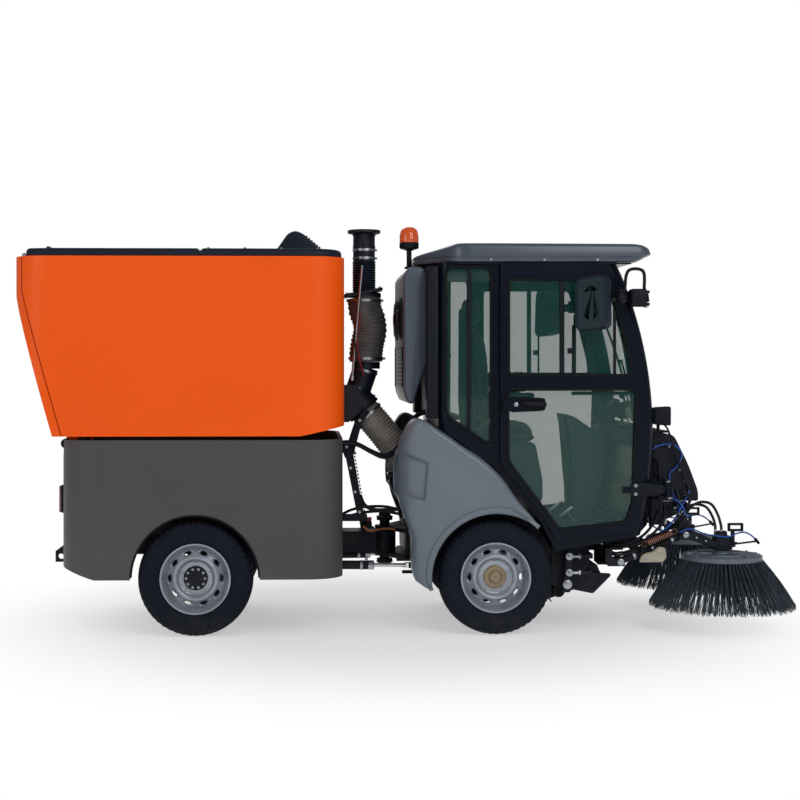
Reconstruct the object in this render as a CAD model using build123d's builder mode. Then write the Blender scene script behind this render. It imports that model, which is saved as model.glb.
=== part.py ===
from build123d import *

# Compact articulated street sweeper.
#
# A rear chassis carries the engine and a tipping hopper, a front chassis carries the cab, the suction
# nozzle and two side brushes, and a vertical kingpin between the axles joins the two.
#
# Frame: millimetres, +X forward, +Y left, +Z up, origin on the ground under the middle of the machine.

import os
from math import cos, radians, sin, sqrt

os.makedirs("parts", exist_ok=True)

SIDES = {"right": -1, "left": 1}

# ------------------------------------------------------------------ clearances
SEAT = 0.3  # between pieces that sit on each other
RUN = 0.5  # between a pin and the piece that turns on it

# ------------------------------------------------------------------ wheels and axles
WHEEL_R = 300
TYRE_W = 165
TRACK = 1035
REAR_AXLE_X = -1117
FRONT_AXLE_X = 448
BEAD_R = 167  # inside radius of the tyre
BEAD_HALF = 58  # half the width between the tyre's beads
RIM_WALL = 6
FLANGE_R = 182.5
FLANGE_W = 10
WELL_R = 148
VENT_COUNT = 10
VENT_R = 127
HUB_R = 62
HUB_CAP_R = 55
SIDEWALL_R = 245  # where the tyre is widest
TREAD_W = 128
AXLE_R = 42
ARCH_R = 335

# ------------------------------------------------------------------ hopper and rear body
BODY_HALF = 620
BODY_CORNER_R = 180
HOPPER_REAR = -2062
HOPPER_FRONT = -341
HOPPER_LOW = 1042
HOPPER_HIGH = 1975
HOPPER_HEEL_X = -1850  # where the sloped rear meets the bottom
HOPPER_KNEE_Z = 1791  # where the sloped rear turns upright
HOPPER_WALL = 25
HOPPER_NOSE_RISE = 50  # lift of the bottom at the front
HOPPER_NOSE_RUN = 230
TAILGATE_T = 45
COVER_T = 42
COVER_SPLIT_X = -1090
COVER_INSET = 14
LID_HINGE_Z = 2026
LID_KNUCKLE_R = 8
LID_PIN_R = 4
LID_KNUCKLE_Y = (240, 300)
TIP_X = -1800
TIP_Z = 1000
PANEL_REAR = -1817
PANEL_FRONT = -349
PANEL_LOW = 300
PANEL_HIGH = 1022
PANEL_T = 20
PANEL_CHAMFER = 60
PANEL_JOIN = BODY_HALF - BODY_CORNER_R  # where side and end panels meet
LAMP_W = 58
LAMP_Z = (632, 778)

# ------------------------------------------------------------------ chassis frames
RAIL_W = 60
REAR_RAIL_Y = 300
REAR_RAIL_LOW = 400
REAR_RAIL_HIGH = 500
NECK_HALF = 95
NECK_LOW = 375
NECK_HIGH = 492
KINGPIN_X = -104
KINGPIN_R = 28
KINGPIN_LOW = 318
KINGPIN_HIGH = 560
FORK_T = 20
FORK_GAP = 5
SLEEVE_R = 62
FRONT_RAIL_Y = 205
FRONT_RAIL_LOW = 400
FRONT_RAIL_HIGH = 480
FRONT_RAIL_END = 1190

# ------------------------------------------------------------------ steering cylinders
BARREL_EYE = (-640, 215, 326)  # x, y, z of the rear eye on the left
ROD_EYE = (12, 262, 326)
BARREL_R = 24
BARREL_END = 466  # from the rear eye
BARREL_BORE = (150, 456)
PISTON = (300, 316)
ROD_R = 11
EYE_R = 22
EYE_HALF = 20  # half an eye's height
EYE_PIN_R = 10
EYE_PLATE = (34, 44)  # the bracket's plates, from the eye's middle

# ------------------------------------------------------------------ cab
CAB_HALF = 575
CAB_WALL = 30
CAB_REAR = 150
CAB_FRONT = 1287
CAB_FRONT_Z = 1050  # height where the curved front stands furthest out
CAB_FRONT_R = 2160
CAB_TOP = 1948
CAB_NOSE_R = 60
SILL_REAR = (764, 436)
SILL_FRONT_Z = 517
HAUNCH_TOP_Z = 1087
HAUNCH_MID = (440, 882)
HAUNCH_LOW = (690, 584)
WINDSCREEN_LOW = 1085
WINDSCREEN_HIGH = 1895
WINDSCREEN_HALF = 500
ROOF_HALF = CAB_HALF + 25
ROOF_REAR = 41
ROOF_FRONT = 1262
ROOF_TOP = 2051
ROOF_WALL = 18
ROOF_TAPER = (209, 270)  # run and width of the roof's cut rear corners
DOOR_T = 25
DOOR_GAP = 5
GLASS_T = 6
HINGE_OUT = 47  # from the cab's side to the hinge's axis
HINGE_Y = CAB_HALF + HINGE_OUT
HINGE_LOW = (1350, 760)  # x and z of the lower hinge
HINGE_HIGH = (1225, 1760)
HINGE_PIN_R = 9
HINGE_KNUCKLE_R = 20
HINGE_KNUCKLE_H = 44

# ------------------------------------------------------------------ fenders
FENDER_OUT = CAB_HALF + 65
FENDER_IN = FENDER_OUT - 230
FENDER_WALL = 12
FENDER_CORNER_R = 150

# ------------------------------------------------------------------ suction path
STACK_X = -219
STACK_HOSE_R = 90
STACK_PIPE_R = 61
SUCTION_HOSE_R = 87
DUCT_R = 80

# ------------------------------------------------------------------ brushes and nozzle
SWING_X = 1060
SWING_Y = 330
ARM_PIVOT = (1130, 363)  # x and z
HEAD_PIVOT = (1480, 507)
BRUSH_X = 1680
BRUSH_Y = 430
BRUSH_PLATE_Z = 382
BRUSH_PLATE_R = 212
BRUSH_TIP_R = 385
BRUSH_TIP_Z = 118
NOZZLE_PIVOT = (300, 440)  # x and z of the arms' pivot on the frame
NOZZLE_TILT = 20  # how far the raised nozzle is turned up from level


def place(piece, name):
    """Labels a finished piece and writes it to its file."""
    piece.part.label = name
    export_step(piece.part, f"parts/{name}.step")


def block(x, y, z, mode=Mode.ADD):
    """Box between two values on each axis, in the part that is open."""
    with Locations([(sum(x) / 2, sum(y) / 2, sum(z) / 2)]):
        Box(abs(x[1] - x[0]), abs(y[1] - y[0]), abs(z[1] - z[0]), mode=mode)


def slab(points, y, mode=Mode.ADD):
    """Outline in x and z, carried from one y to the other."""
    high = max(y)
    with BuildSketch(Plane.XZ.offset(-high)) as outline:
        with BuildLine():
            Polyline(*points, close=True)
        make_face()
    extrude(to_extrude=outline.sketch, amount=high - min(y), mode=mode)


def between(sketch, y, mode=Mode.ADD):
    """Carries an upright outline from one y to the other."""
    high = max(y)
    extrude(to_extrude=sketch.moved(Location((0, high, 0))), amount=high - min(y), mode=mode)


def rod(start, end, radius, mode=Mode.ADD):
    """Round bar from one point to another."""
    along = Vector(*end) - Vector(*start)
    with BuildSketch(Plane(origin=start, z_dir=along)) as section:
        Circle(radius)
    extrude(to_extrude=section.sketch, amount=along.length, mode=mode)


def hose(route, radius, bend, y=0):
    """Round hose along points in x and z, with arcs at its corners."""
    with BuildLine() as path:
        FilletPolyline(*[(x, y, z) for x, z in route], radius=bend)
    with BuildSketch(Plane(origin=path.line @ 0, z_dir=path.line % 0)) as section:
        Circle(radius)
    sweep(sections=section.sketch, path=path.line)


def mirrored(span, side):
    """A span of y given for the left, on either side."""
    return (side * span[0], side * span[1])


def wheel_plane(axle_x, side):
    """Plane through a wheel's axis: its x runs outward along the axis, its y up."""
    centre = (axle_x, side * TRACK / 2, WHEEL_R)
    return Plane(origin=centre, x_dir=(0, side, 0), z_dir=(side, 0, 0))


# ================================================================== wheels
for end, axle_x in {"rear": REAR_AXLE_X, "front": FRONT_AXLE_X}.items():
    for side_name, side in SIDES.items():
        section = wheel_plane(axle_x, side)
        spin = Axis(section.origin, (0, 1, 0))
        outward = Plane(origin=section.origin, x_dir=(1, 0, 0), z_dir=(0, side, 0))

        with BuildPart() as tyre:
            with BuildSketch(section):
                with BuildLine():
                    Polyline(
                        (-BEAD_HALF, BEAD_R),
                        (-TYRE_W / 2, SIDEWALL_R),
                        (-TREAD_W / 2, WHEEL_R),
                        (TREAD_W / 2, WHEEL_R),
                        (TYRE_W / 2, SIDEWALL_R),
                        (BEAD_HALF, BEAD_R),
                        close=True,
                    )
                make_face()
            revolve(axis=spin)
        place(tyre, f"tyre_{end}_{side_name}")

        with BuildPart() as rim:
            seat_r = BEAD_R - SEAT
            inner_r = seat_r - RIM_WALL
            lean = (TYRE_W / 2 - BEAD_HALF) / (SIDEWALL_R - BEAD_R)
            lip = BEAD_HALF + 2 * SEAT
            lip_out = lip + lean * (FLANGE_R - BEAD_R)
            with BuildSketch(section):
                with BuildLine():
                    Polyline(
                        (-lip_out - FLANGE_W, FLANGE_R),
                        (-lip_out, FLANGE_R),
                        (-lip, seat_r),
                        (-30, seat_r),
                        (-20, WELL_R),
                        (15, WELL_R),
                        (25, seat_r),
                        (lip, seat_r),
                        (lip_out, FLANGE_R),
                        (lip_out + FLANGE_W, FLANGE_R),
                        (lip_out + FLANGE_W, FLANGE_R - RIM_WALL),
                        (lip + RIM_WALL, inner_r),
                        (28, inner_r),
                        (18, WELL_R - RIM_WALL),
                        (-23, WELL_R - RIM_WALL),
                        (-33, inner_r),
                        (-lip - RIM_WALL, inner_r),
                        (-lip_out - FLANGE_W, FLANGE_R - RIM_WALL),
                        close=True,
                    )
                make_face()
                with BuildLine():
                    Polyline(
                        (11, WELL_R - RIM_WALL + 1),
                        (20, VENT_R + 2),
                        (40, VENT_R - 16),
                        (40, VENT_R - 29),
                        (19, VENT_R - 41),
                        (19, 0),
                        (12, 0),
                        (12, VENT_R - 43),
                        (33, VENT_R - 29),
                        (33, VENT_R - 18),
                        (14, VENT_R - 3),
                        (4, WELL_R - RIM_WALL + 1),
                        close=True,
                    )
                make_face()
            revolve(axis=spin)
            with BuildSketch(outward):
                with PolarLocations(VENT_R + 1, VENT_COUNT):
                    Rectangle(13, 30)
            extrude(amount=TYRE_W / 2, mode=Mode.SUBTRACT)
            with BuildSketch(outward.offset(-TYRE_W / 2 + 5)):
                Circle(HUB_R)
            extrude(amount=TYRE_W / 2 + 8)
            with BuildSketch(outward.offset(12)):
                Circle(HUB_CAP_R)
            extrude(amount=36)
        place(rim, f"rim_{end}_{side_name}")

RAIL_Y = {"rear": REAR_RAIL_Y, "front": FRONT_RAIL_Y}
for end, axle_x in {"rear": REAR_AXLE_X, "front": FRONT_AXLE_X}.items():
    hub_face = TRACK / 2 - TYRE_W / 2 + 5 - SEAT
    with BuildPart() as axle:
        with BuildSketch(Plane.XZ):
            with Locations((axle_x, WHEEL_R)):
                Circle(AXLE_R)
        extrude(amount=hub_face, both=True)
        with BuildSketch(Plane.XZ):
            with Locations((axle_x, WHEEL_R)):
                Circle(AXLE_R + 48)
        extrude(amount=75, both=True)
        for side in SIDES.values():
            pad_y = RAIL_Y[end] - RAIL_W / 2, RAIL_Y[end] + RAIL_W / 2
            block((axle_x - 45, axle_x + 45), mirrored(pad_y, side), (WHEEL_R, REAR_RAIL_LOW - SEAT))
            with BuildSketch(Plane.XZ.offset(side * (hub_face - 30) if side > 0 else side * hub_face)):
                with Locations((axle_x, WHEEL_R)):
                    Circle(HUB_R)
            extrude(amount=30)
    place(axle, f"{end}_axle")


# ================================================================== rear chassis
PANEL_IN = BODY_HALF - PANEL_T
LUG_IN = (440, 460)
LUG_OUT = (465, 485)
LUG_R = 26
POST_TOP = HOPPER_LOW - SEAT
ENGINE_X = (-960, -480)
ENGINE_Y = (-240, 240)
ENGINE_Z = (475, 900)
REST_X = (-720, -640)
REST_Y = (330, 400)

with BuildPart() as rear_frame:
    for side in SIDES.values():
        rail = (REAR_RAIL_Y - RAIL_W / 2, REAR_RAIL_Y + RAIL_W / 2)
        block((-1770, -420), mirrored(rail, side), (REAR_RAIL_LOW, REAR_RAIL_HIGH))
        block((-1790, -1740), mirrored((rail[0], LUG_OUT[1]), side), (REAR_RAIL_LOW, REAR_RAIL_HIGH))
        post = [(-1784, REAR_RAIL_LOW), (-1730, REAR_RAIL_LOW), (TIP_X + LUG_R, TIP_Z), (-1784, TIP_Z - 20)]
        slab(post, mirrored(LUG_OUT, side))
        rod((TIP_X, side * LUG_OUT[1], TIP_Z), (TIP_X, side * LUG_OUT[0], TIP_Z), LUG_R)
        rod((TIP_X, side * LUG_OUT[0], TIP_Z), (TIP_X, side * (LUG_IN[0] - 6), TIP_Z), 14)
        block(REST_X, mirrored((rail[0], REST_Y[1]), side), (REAR_RAIL_HIGH - 40, REAR_RAIL_HIGH))
        block(REST_X, mirrored(REST_Y, side), (REAR_RAIL_HIGH - 40, POST_TOP))
        for arm_x in (-1600, -600):
            block((arm_x, arm_x + 50), mirrored((rail[0], PANEL_IN - SEAT), side), (430, 480))
        eye_x, eye_y, eye_z = BARREL_EYE
        span = (eye_x - EYE_R - 8, eye_x + EYE_R + 8)
        for low, high in ((-EYE_PLATE[1], -EYE_PLATE[0]), EYE_PLATE):
            block(span, mirrored((eye_y - EYE_R - 4, rail[1] - 30), side), (eye_z + low, eye_z + high))
        block(span, mirrored((rail[0] - 2, rail[1] - 30), side), (eye_z - EYE_PLATE[1], REAR_RAIL_LOW + 10))
        pin = (eye_x, side * eye_y)
        rod((*pin, eye_z - EYE_PLATE[0] - 2), (*pin, eye_z + EYE_PLATE[0] + 2), EYE_PIN_R)
    block((-1770, -1710), (-REAR_RAIL_Y, REAR_RAIL_Y), (REAR_RAIL_LOW, REAR_RAIL_HIGH))
    block((-480, -420), (-REAR_RAIL_Y, REAR_RAIL_Y), (REAR_RAIL_LOW, REAR_RAIL_HIGH))
    block((-440, KINGPIN_X - SLEEVE_R + 12), (-NECK_HALF, NECK_HALF), (NECK_LOW, NECK_HIGH))
    rod((KINGPIN_X, 0, NECK_LOW), (KINGPIN_X, 0, NECK_HIGH), SLEEVE_R)
    rod((KINGPIN_X, 0, NECK_LOW), (KINGPIN_X, 0, NECK_HIGH), KINGPIN_R + RUN, mode=Mode.SUBTRACT)
    block((-1812, -1790), (-60, 60), (REAR_RAIL_LOW, REAR_RAIL_HIGH))
    slab([(-1930, 320), (-1930, 380), (-1812, 470), (-1770, 470), (-1770, 400), (-1860, 320)], (-12, 12))
    rod((-1900, -12, 350), (-1900, 12, 350), 16, mode=Mode.SUBTRACT)
place(rear_frame, "rear_frame")

with BuildPart() as engine_block:
    block(ENGINE_X, ENGINE_Y, ENGINE_Z)
    for side in SIDES.values():
        for foot_x in (-900, -540):
            block(
                (foot_x - 40, foot_x + 40),
                mirrored((200, REAR_RAIL_Y + RAIL_W / 2), side),
                (REAR_RAIL_HIGH + SEAT, 540),
            )
place(engine_block, "engine_block")

with BuildPart() as body_ring:
    with BuildSketch(Plane.XY.offset(PANEL_LOW)):
        with Locations(((PANEL_REAR + PANEL_FRONT) / 2, 0)):
            RectangleRounded(PANEL_FRONT - PANEL_REAR, 2 * BODY_HALF, BODY_CORNER_R)
            RectangleRounded(
                PANEL_FRONT - PANEL_REAR - 2 * PANEL_T,
                2 * PANEL_IN,
                BODY_CORNER_R - PANEL_T,
                mode=Mode.SUBTRACT,
            )
    extrude(amount=PANEL_HIGH - PANEL_LOW)
    rod((REAR_AXLE_X, -BODY_HALF, WHEEL_R), (REAR_AXLE_X, BODY_HALF, WHEEL_R), ARCH_R, mode=Mode.SUBTRACT)
    cut = [
        (PANEL_REAR, PANEL_LOW),
        (PANEL_REAR + BODY_CORNER_R, PANEL_LOW),
        (PANEL_REAR, PANEL_LOW + PANEL_CHAMFER),
    ]
    slab(cut, (-BODY_HALF, BODY_HALF), mode=Mode.SUBTRACT)
    for side in SIDES.values():
        notch = (LUG_IN[0] - 12, LUG_OUT[1] + 6)
        block((PANEL_REAR, -1700), mirrored(notch, side), (TIP_Z - 60, PANEL_HIGH), mode=Mode.SUBTRACT)

for side_name, side in SIDES.items():
    with BuildPart() as side_panel:
        add(body_ring.part)
        inner = (-BODY_HALF, PANEL_JOIN) if side > 0 else (-PANEL_JOIN, BODY_HALF)
        block((PANEL_REAR, PANEL_FRONT), inner, (PANEL_LOW, PANEL_HIGH), mode=Mode.SUBTRACT)
    place(side_panel, f"side_panel_{side_name}")

with BuildPart() as end_panels:
    add(body_ring.part)
    block((-1000, -999), (-BODY_HALF, BODY_HALF), (PANEL_LOW, PANEL_HIGH), mode=Mode.SUBTRACT)
    for side in SIDES.values():
        outer = mirrored((PANEL_JOIN - SEAT, BODY_HALF), side)
        block((PANEL_REAR, PANEL_FRONT), outer, (PANEL_LOW, PANEL_HIGH), mode=Mode.SUBTRACT)
    block((PANEL_REAR, -1700), (-70, 70), (PANEL_LOW, 500), mode=Mode.SUBTRACT)
    block((-400, PANEL_FRONT), (-330, 330), (PANEL_LOW, 520), mode=Mode.SUBTRACT)
place(end_panels, "end_panels")

with BuildPart() as tail_lamps:
    for side in SIDES.values():
        block(
            (PANEL_REAR - 26, PANEL_REAR - SEAT),
            mirrored((PANEL_JOIN - 2 - LAMP_W, PANEL_JOIN - 2), side),
            LAMP_Z,
        )
place(tail_lamps, "tail_lamps")

for side_name, side in SIDES.items():
    rear_eye = Vector(BARREL_EYE[0], side * BARREL_EYE[1], BARREL_EYE[2])
    front_eye = Vector(ROD_EYE[0], side * ROD_EYE[1], ROD_EYE[2])
    along = (front_eye - rear_eye).normalized()
    with BuildPart() as barrel:
        rod(rear_eye + along * 14, rear_eye + along * BARREL_END, BARREL_R)
        rod(rear_eye + along * 330, rear_eye + along * (BARREL_END + 1), ROD_R + RUN, mode=Mode.SUBTRACT)
        rod(
            rear_eye + along * BARREL_BORE[0],
            rear_eye + along * BARREL_BORE[1],
            BARREL_R - 5,
            mode=Mode.SUBTRACT,
        )
        up = Vector(0, 0, EYE_HALF + 5)
        rod(rear_eye - up, rear_eye + up, EYE_R)
        rod(rear_eye - up * 2, rear_eye + up * 2, EYE_PIN_R + RUN, mode=Mode.SUBTRACT)
    place(barrel, f"steer_barrel_{side_name}")
    with BuildPart() as steer_rod:
        rod(rear_eye + along * PISTON[0], front_eye, ROD_R)
        rod(rear_eye + along * PISTON[0], rear_eye + along * PISTON[1], BARREL_R - 6)
        rod(front_eye - Vector(0, 0, 14), front_eye + Vector(0, 0, 14), EYE_R)
    place(steer_rod, f"steer_rod_{side_name}")

# ================================================================== hopper
REAR_SLOPE = [(HOPPER_HEEL_X, HOPPER_LOW), (HOPPER_REAR, HOPPER_KNEE_Z), (HOPPER_REAR, HOPPER_HIGH)]
GATE_GAP = 5
GATE_HINGE = (-2040, 1994)  # x and z
GATE_LUG_Y = (300, 320)
GATE_LUG_R = 14


def hopper_plan(low, high, inset=0, mode=Mode.INTERSECT):
    """Rounded plan of the hopper, between two heights."""
    with BuildSketch(Plane.XY.offset(low)) as plan:
        with Locations(((HOPPER_REAR + HOPPER_FRONT) / 2, 0)):
            RectangleRounded(
                HOPPER_FRONT - HOPPER_REAR - 2 * inset, 2 * (BODY_HALF - inset), BODY_CORNER_R - inset
            )
    extrude(to_extrude=plan.sketch, amount=high - low, mode=mode)


def hopper_side(rear_inset, inset):
    """Side outline of the hopper, set in from its walls and from its sloped rear."""
    shift = rear_inset + inset
    return [
        (HOPPER_HEEL_X + shift, HOPPER_LOW + inset),
        (HOPPER_FRONT - HOPPER_NOSE_RUN, HOPPER_LOW + inset),
        (HOPPER_FRONT - inset, HOPPER_LOW + HOPPER_NOSE_RISE + inset),
        (HOPPER_FRONT - inset, HOPPER_HIGH),
        (HOPPER_REAR + shift, HOPPER_HIGH),
        (HOPPER_REAR + shift, HOPPER_KNEE_Z),
    ]


with BuildPart() as hopper_room:
    slab(hopper_side(TAILGATE_T + GATE_GAP - HOPPER_WALL, HOPPER_WALL), (-BODY_HALF, BODY_HALF))
    slab(
        [
            (HOPPER_REAR, HOPPER_LOW + HOPPER_WALL),
            (-1500, HOPPER_LOW + HOPPER_WALL),
            (-1500, 1930),
            (HOPPER_REAR, 1930),
        ],
        (-BODY_HALF, BODY_HALF),
    )
    hopper_plan(HOPPER_LOW, HOPPER_HIGH - HOPPER_WALL, inset=HOPPER_WALL)

with BuildPart() as hopper_shell:
    slab(hopper_side(TAILGATE_T + GATE_GAP, 0), (-BODY_HALF, BODY_HALF))
    hopper_plan(HOPPER_LOW, HOPPER_HIGH)
    add(hopper_room.part, mode=Mode.SUBTRACT)
    block((-1900, -1150), (-470, 470), (HOPPER_HIGH - HOPPER_WALL - 1, HOPPER_HIGH), mode=Mode.SUBTRACT)
    block((HOPPER_FRONT - HOPPER_WALL - 1, HOPPER_FRONT), (-75, 75), (1115, 1265), mode=Mode.SUBTRACT)
    for side in SIDES.values():
        block((TIP_X, TIP_X + 60), mirrored(LUG_IN, side), (TIP_Z, HOPPER_LOW + 2))
        rod((TIP_X, side * LUG_IN[1], TIP_Z), (TIP_X, side * LUG_IN[0], TIP_Z), LUG_R)
        rod(
            (TIP_X, side * LUG_IN[1], TIP_Z), (TIP_X, side * LUG_IN[0], TIP_Z), 14 + RUN, mode=Mode.SUBTRACT
        )
    for side in SIDES.values():
        lug = mirrored(GATE_LUG_Y, side)
        x, z = GATE_HINGE
        slab(
            [
                (x, z - 12),
                (x + 30, z - 12),
                (x + 30, HOPPER_HIGH - 1),
                (x + 44, HOPPER_HIGH - 1),
                (x + 44, z),
                (x, z + 13),
            ],
            lug,
        )
        rod((x, lug[0], z), (x, lug[1], z), GATE_LUG_R)
        rod((x, lug[0] - 1, z), (x, lug[1] + 1, z), 7 + RUN, mode=Mode.SUBTRACT)
        if side < 0:
            rod((x, lug[1] - 1, z), (x, lug[0] + 1, z), 7 + RUN, mode=Mode.SUBTRACT)
place(hopper_shell, "hopper_shell")

with BuildPart() as tailgate:
    slab(
        REAR_SLOPE + [
            (HOPPER_REAR + TAILGATE_T, HOPPER_HIGH),
            (HOPPER_REAR + TAILGATE_T, HOPPER_KNEE_Z),
            (HOPPER_HEEL_X + TAILGATE_T, HOPPER_LOW),
        ],
        (-BODY_HALF, BODY_HALF),
    )
    hopper_plan(HOPPER_LOW, HOPPER_HIGH)
    for side in SIDES.values():
        x, z = GATE_HINGE
        for lug in ((GATE_LUG_Y[0] - 25, GATE_LUG_Y[0] - 5), (GATE_LUG_Y[1] + 5, GATE_LUG_Y[1] + 25)):
            slab(
                [(x - 15, HOPPER_HIGH - 1), (x + 15, HOPPER_HIGH - 1), (x + 12, z), (x - 12, z)],
                mirrored(lug, side),
            )
            rod((x, side * lug[0], z), (x, side * lug[1], z), GATE_LUG_R)
        rod((x, side * (GATE_LUG_Y[0] - 25), z), (x, side * (GATE_LUG_Y[1] + 25), z), 7)
place(tailgate, "tailgate")


def cover_plan(x, z):
    """Top cover between two x: the hopper's plan, a little inside it."""
    hopper_plan(z[0], z[1], inset=COVER_INSET, mode=Mode.ADD)
    for gone in ((HOPPER_REAR, x[0]), (x[1], HOPPER_FRONT)):
        block(gone, (-BODY_HALF, BODY_HALF), z, mode=Mode.SUBTRACT)


def lid_leaf(far_x, y):
    """Flat leaf on a cover's top, from the hinge's axis to an x."""
    block((COVER_SPLIT_X, far_x), y, (COVER_Z[1] - 1, LID_HINGE_Z + 3))


def lid_barrel(y, radius, mode=Mode.ADD):
    """Round bar on the axis of the lid's hinge."""
    rod((COVER_SPLIT_X, min(y), LID_HINGE_Z), (COVER_SPLIT_X, max(y), LID_HINGE_Z), radius, mode=mode)


LID_REAR = -1990
COVER_Z = (HOPPER_HIGH + SEAT, HOPPER_HIGH + COVER_T)
HOOD_Y = (-330, -60)
HOOD = [(-710, COVER_Z[1] - 1), (-640, 2120), (-600, 2134), (-560, 2120), (-440, COVER_Z[1] - 1)]
with BuildPart() as front_cover:
    cover_plan((COVER_SPLIT_X + 4, HOPPER_FRONT - COVER_INSET), COVER_Z)
    slab(HOOD, HOOD_Y)
    for side in SIDES.values():
        ends = mirrored((LID_KNUCKLE_Y[1] + 1, LID_KNUCKLE_Y[1] + 22), side)
        lid_leaf(COVER_SPLIT_X + 40, ends)
        lid_barrel(ends, LID_KNUCKLE_R)
        lid_barrel(mirrored((LID_KNUCKLE_Y[0] + 4, LID_KNUCKLE_Y[1] + 10), side), LID_PIN_R)
place(front_cover, "front_cover")

with BuildPart() as rear_lid:
    cover_plan((LID_REAR, COVER_SPLIT_X - 4), COVER_Z)
    for side in SIDES.values():
        span = mirrored(LID_KNUCKLE_Y, side)
        lid_leaf(COVER_SPLIT_X - 40, span)
        lid_barrel(span, LID_KNUCKLE_R)
        lid_barrel(
            mirrored((LID_KNUCKLE_Y[0] - 1, LID_KNUCKLE_Y[1] + 1), side),
            LID_PIN_R + RUN,
            mode=Mode.SUBTRACT,
        )
place(rear_lid, "rear_lid")

# ------------------------------------------------------------------ suction stack on the hopper's front
SEAL = Vector(-225, 0, 1168)  # middle of the sloped seal that parts when the hopper tips
FALL = Vector(0.66, 0, -0.75).normalized()
with BuildPart() as intake_duct:
    block((HOPPER_FRONT + SEAT, -250), (-100, 100), (1095, 1300))
    rod((-262, 0, 1240), (-208, 0, 1400), 70)
    rod((-208, 0, 1390), (-208, 0, 1429), 78)
    rod(SEAL - FALL * 80, SEAL, 94)
    rod(SEAL, SEAL + FALL * 300, 300, mode=Mode.SUBTRACT)
place(intake_duct, "intake_duct")

with BuildPart() as stack_hose:
    route = [(-208, 1429 + SEAT), (-208, 1500), (-186, 1610), (STACK_X, 1720), (STACK_X, 1787)]
    hose(route, STACK_HOSE_R, 110)
place(stack_hose, "stack_hose")

with BuildPart() as stack_pipe:
    slab(
        [(HOPPER_FRONT + SEAT, 1782), (HOPPER_FRONT + SEAT, 1800), (-118, 1842), (-118, 1824)], (-100, 100)
    )
    rod((STACK_X, 0, 1787 + SEAT), (STACK_X, 0, 1812), STACK_HOSE_R + 4)
    rod((STACK_X, 0, 1810), (STACK_X, 0, 2146), STACK_PIPE_R)
    rod((STACK_X, 0, 2146), (STACK_X, 0, 2163), 92)
place(stack_pipe, "stack_pipe")

# ================================================================== front chassis
FORK_HIGH = (NECK_HIGH + FORK_GAP, NECK_HIGH + FORK_GAP + FORK_T)
FORK_LOW = (NECK_LOW - FORK_GAP - FORK_T, NECK_LOW - FORK_GAP)
FORK_REAR = KINGPIN_X - 50
RAIL_IN = FRONT_RAIL_Y - RAIL_W / 2
RAIL_OUT = FRONT_RAIL_Y + RAIL_W / 2
BOX_LOW = 682
OUTRIGGER_X = (90, 140)
CAB_FEET_X = (740, 1100)
CAB_UNDER = 530  # underside of the cab's floor

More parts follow.
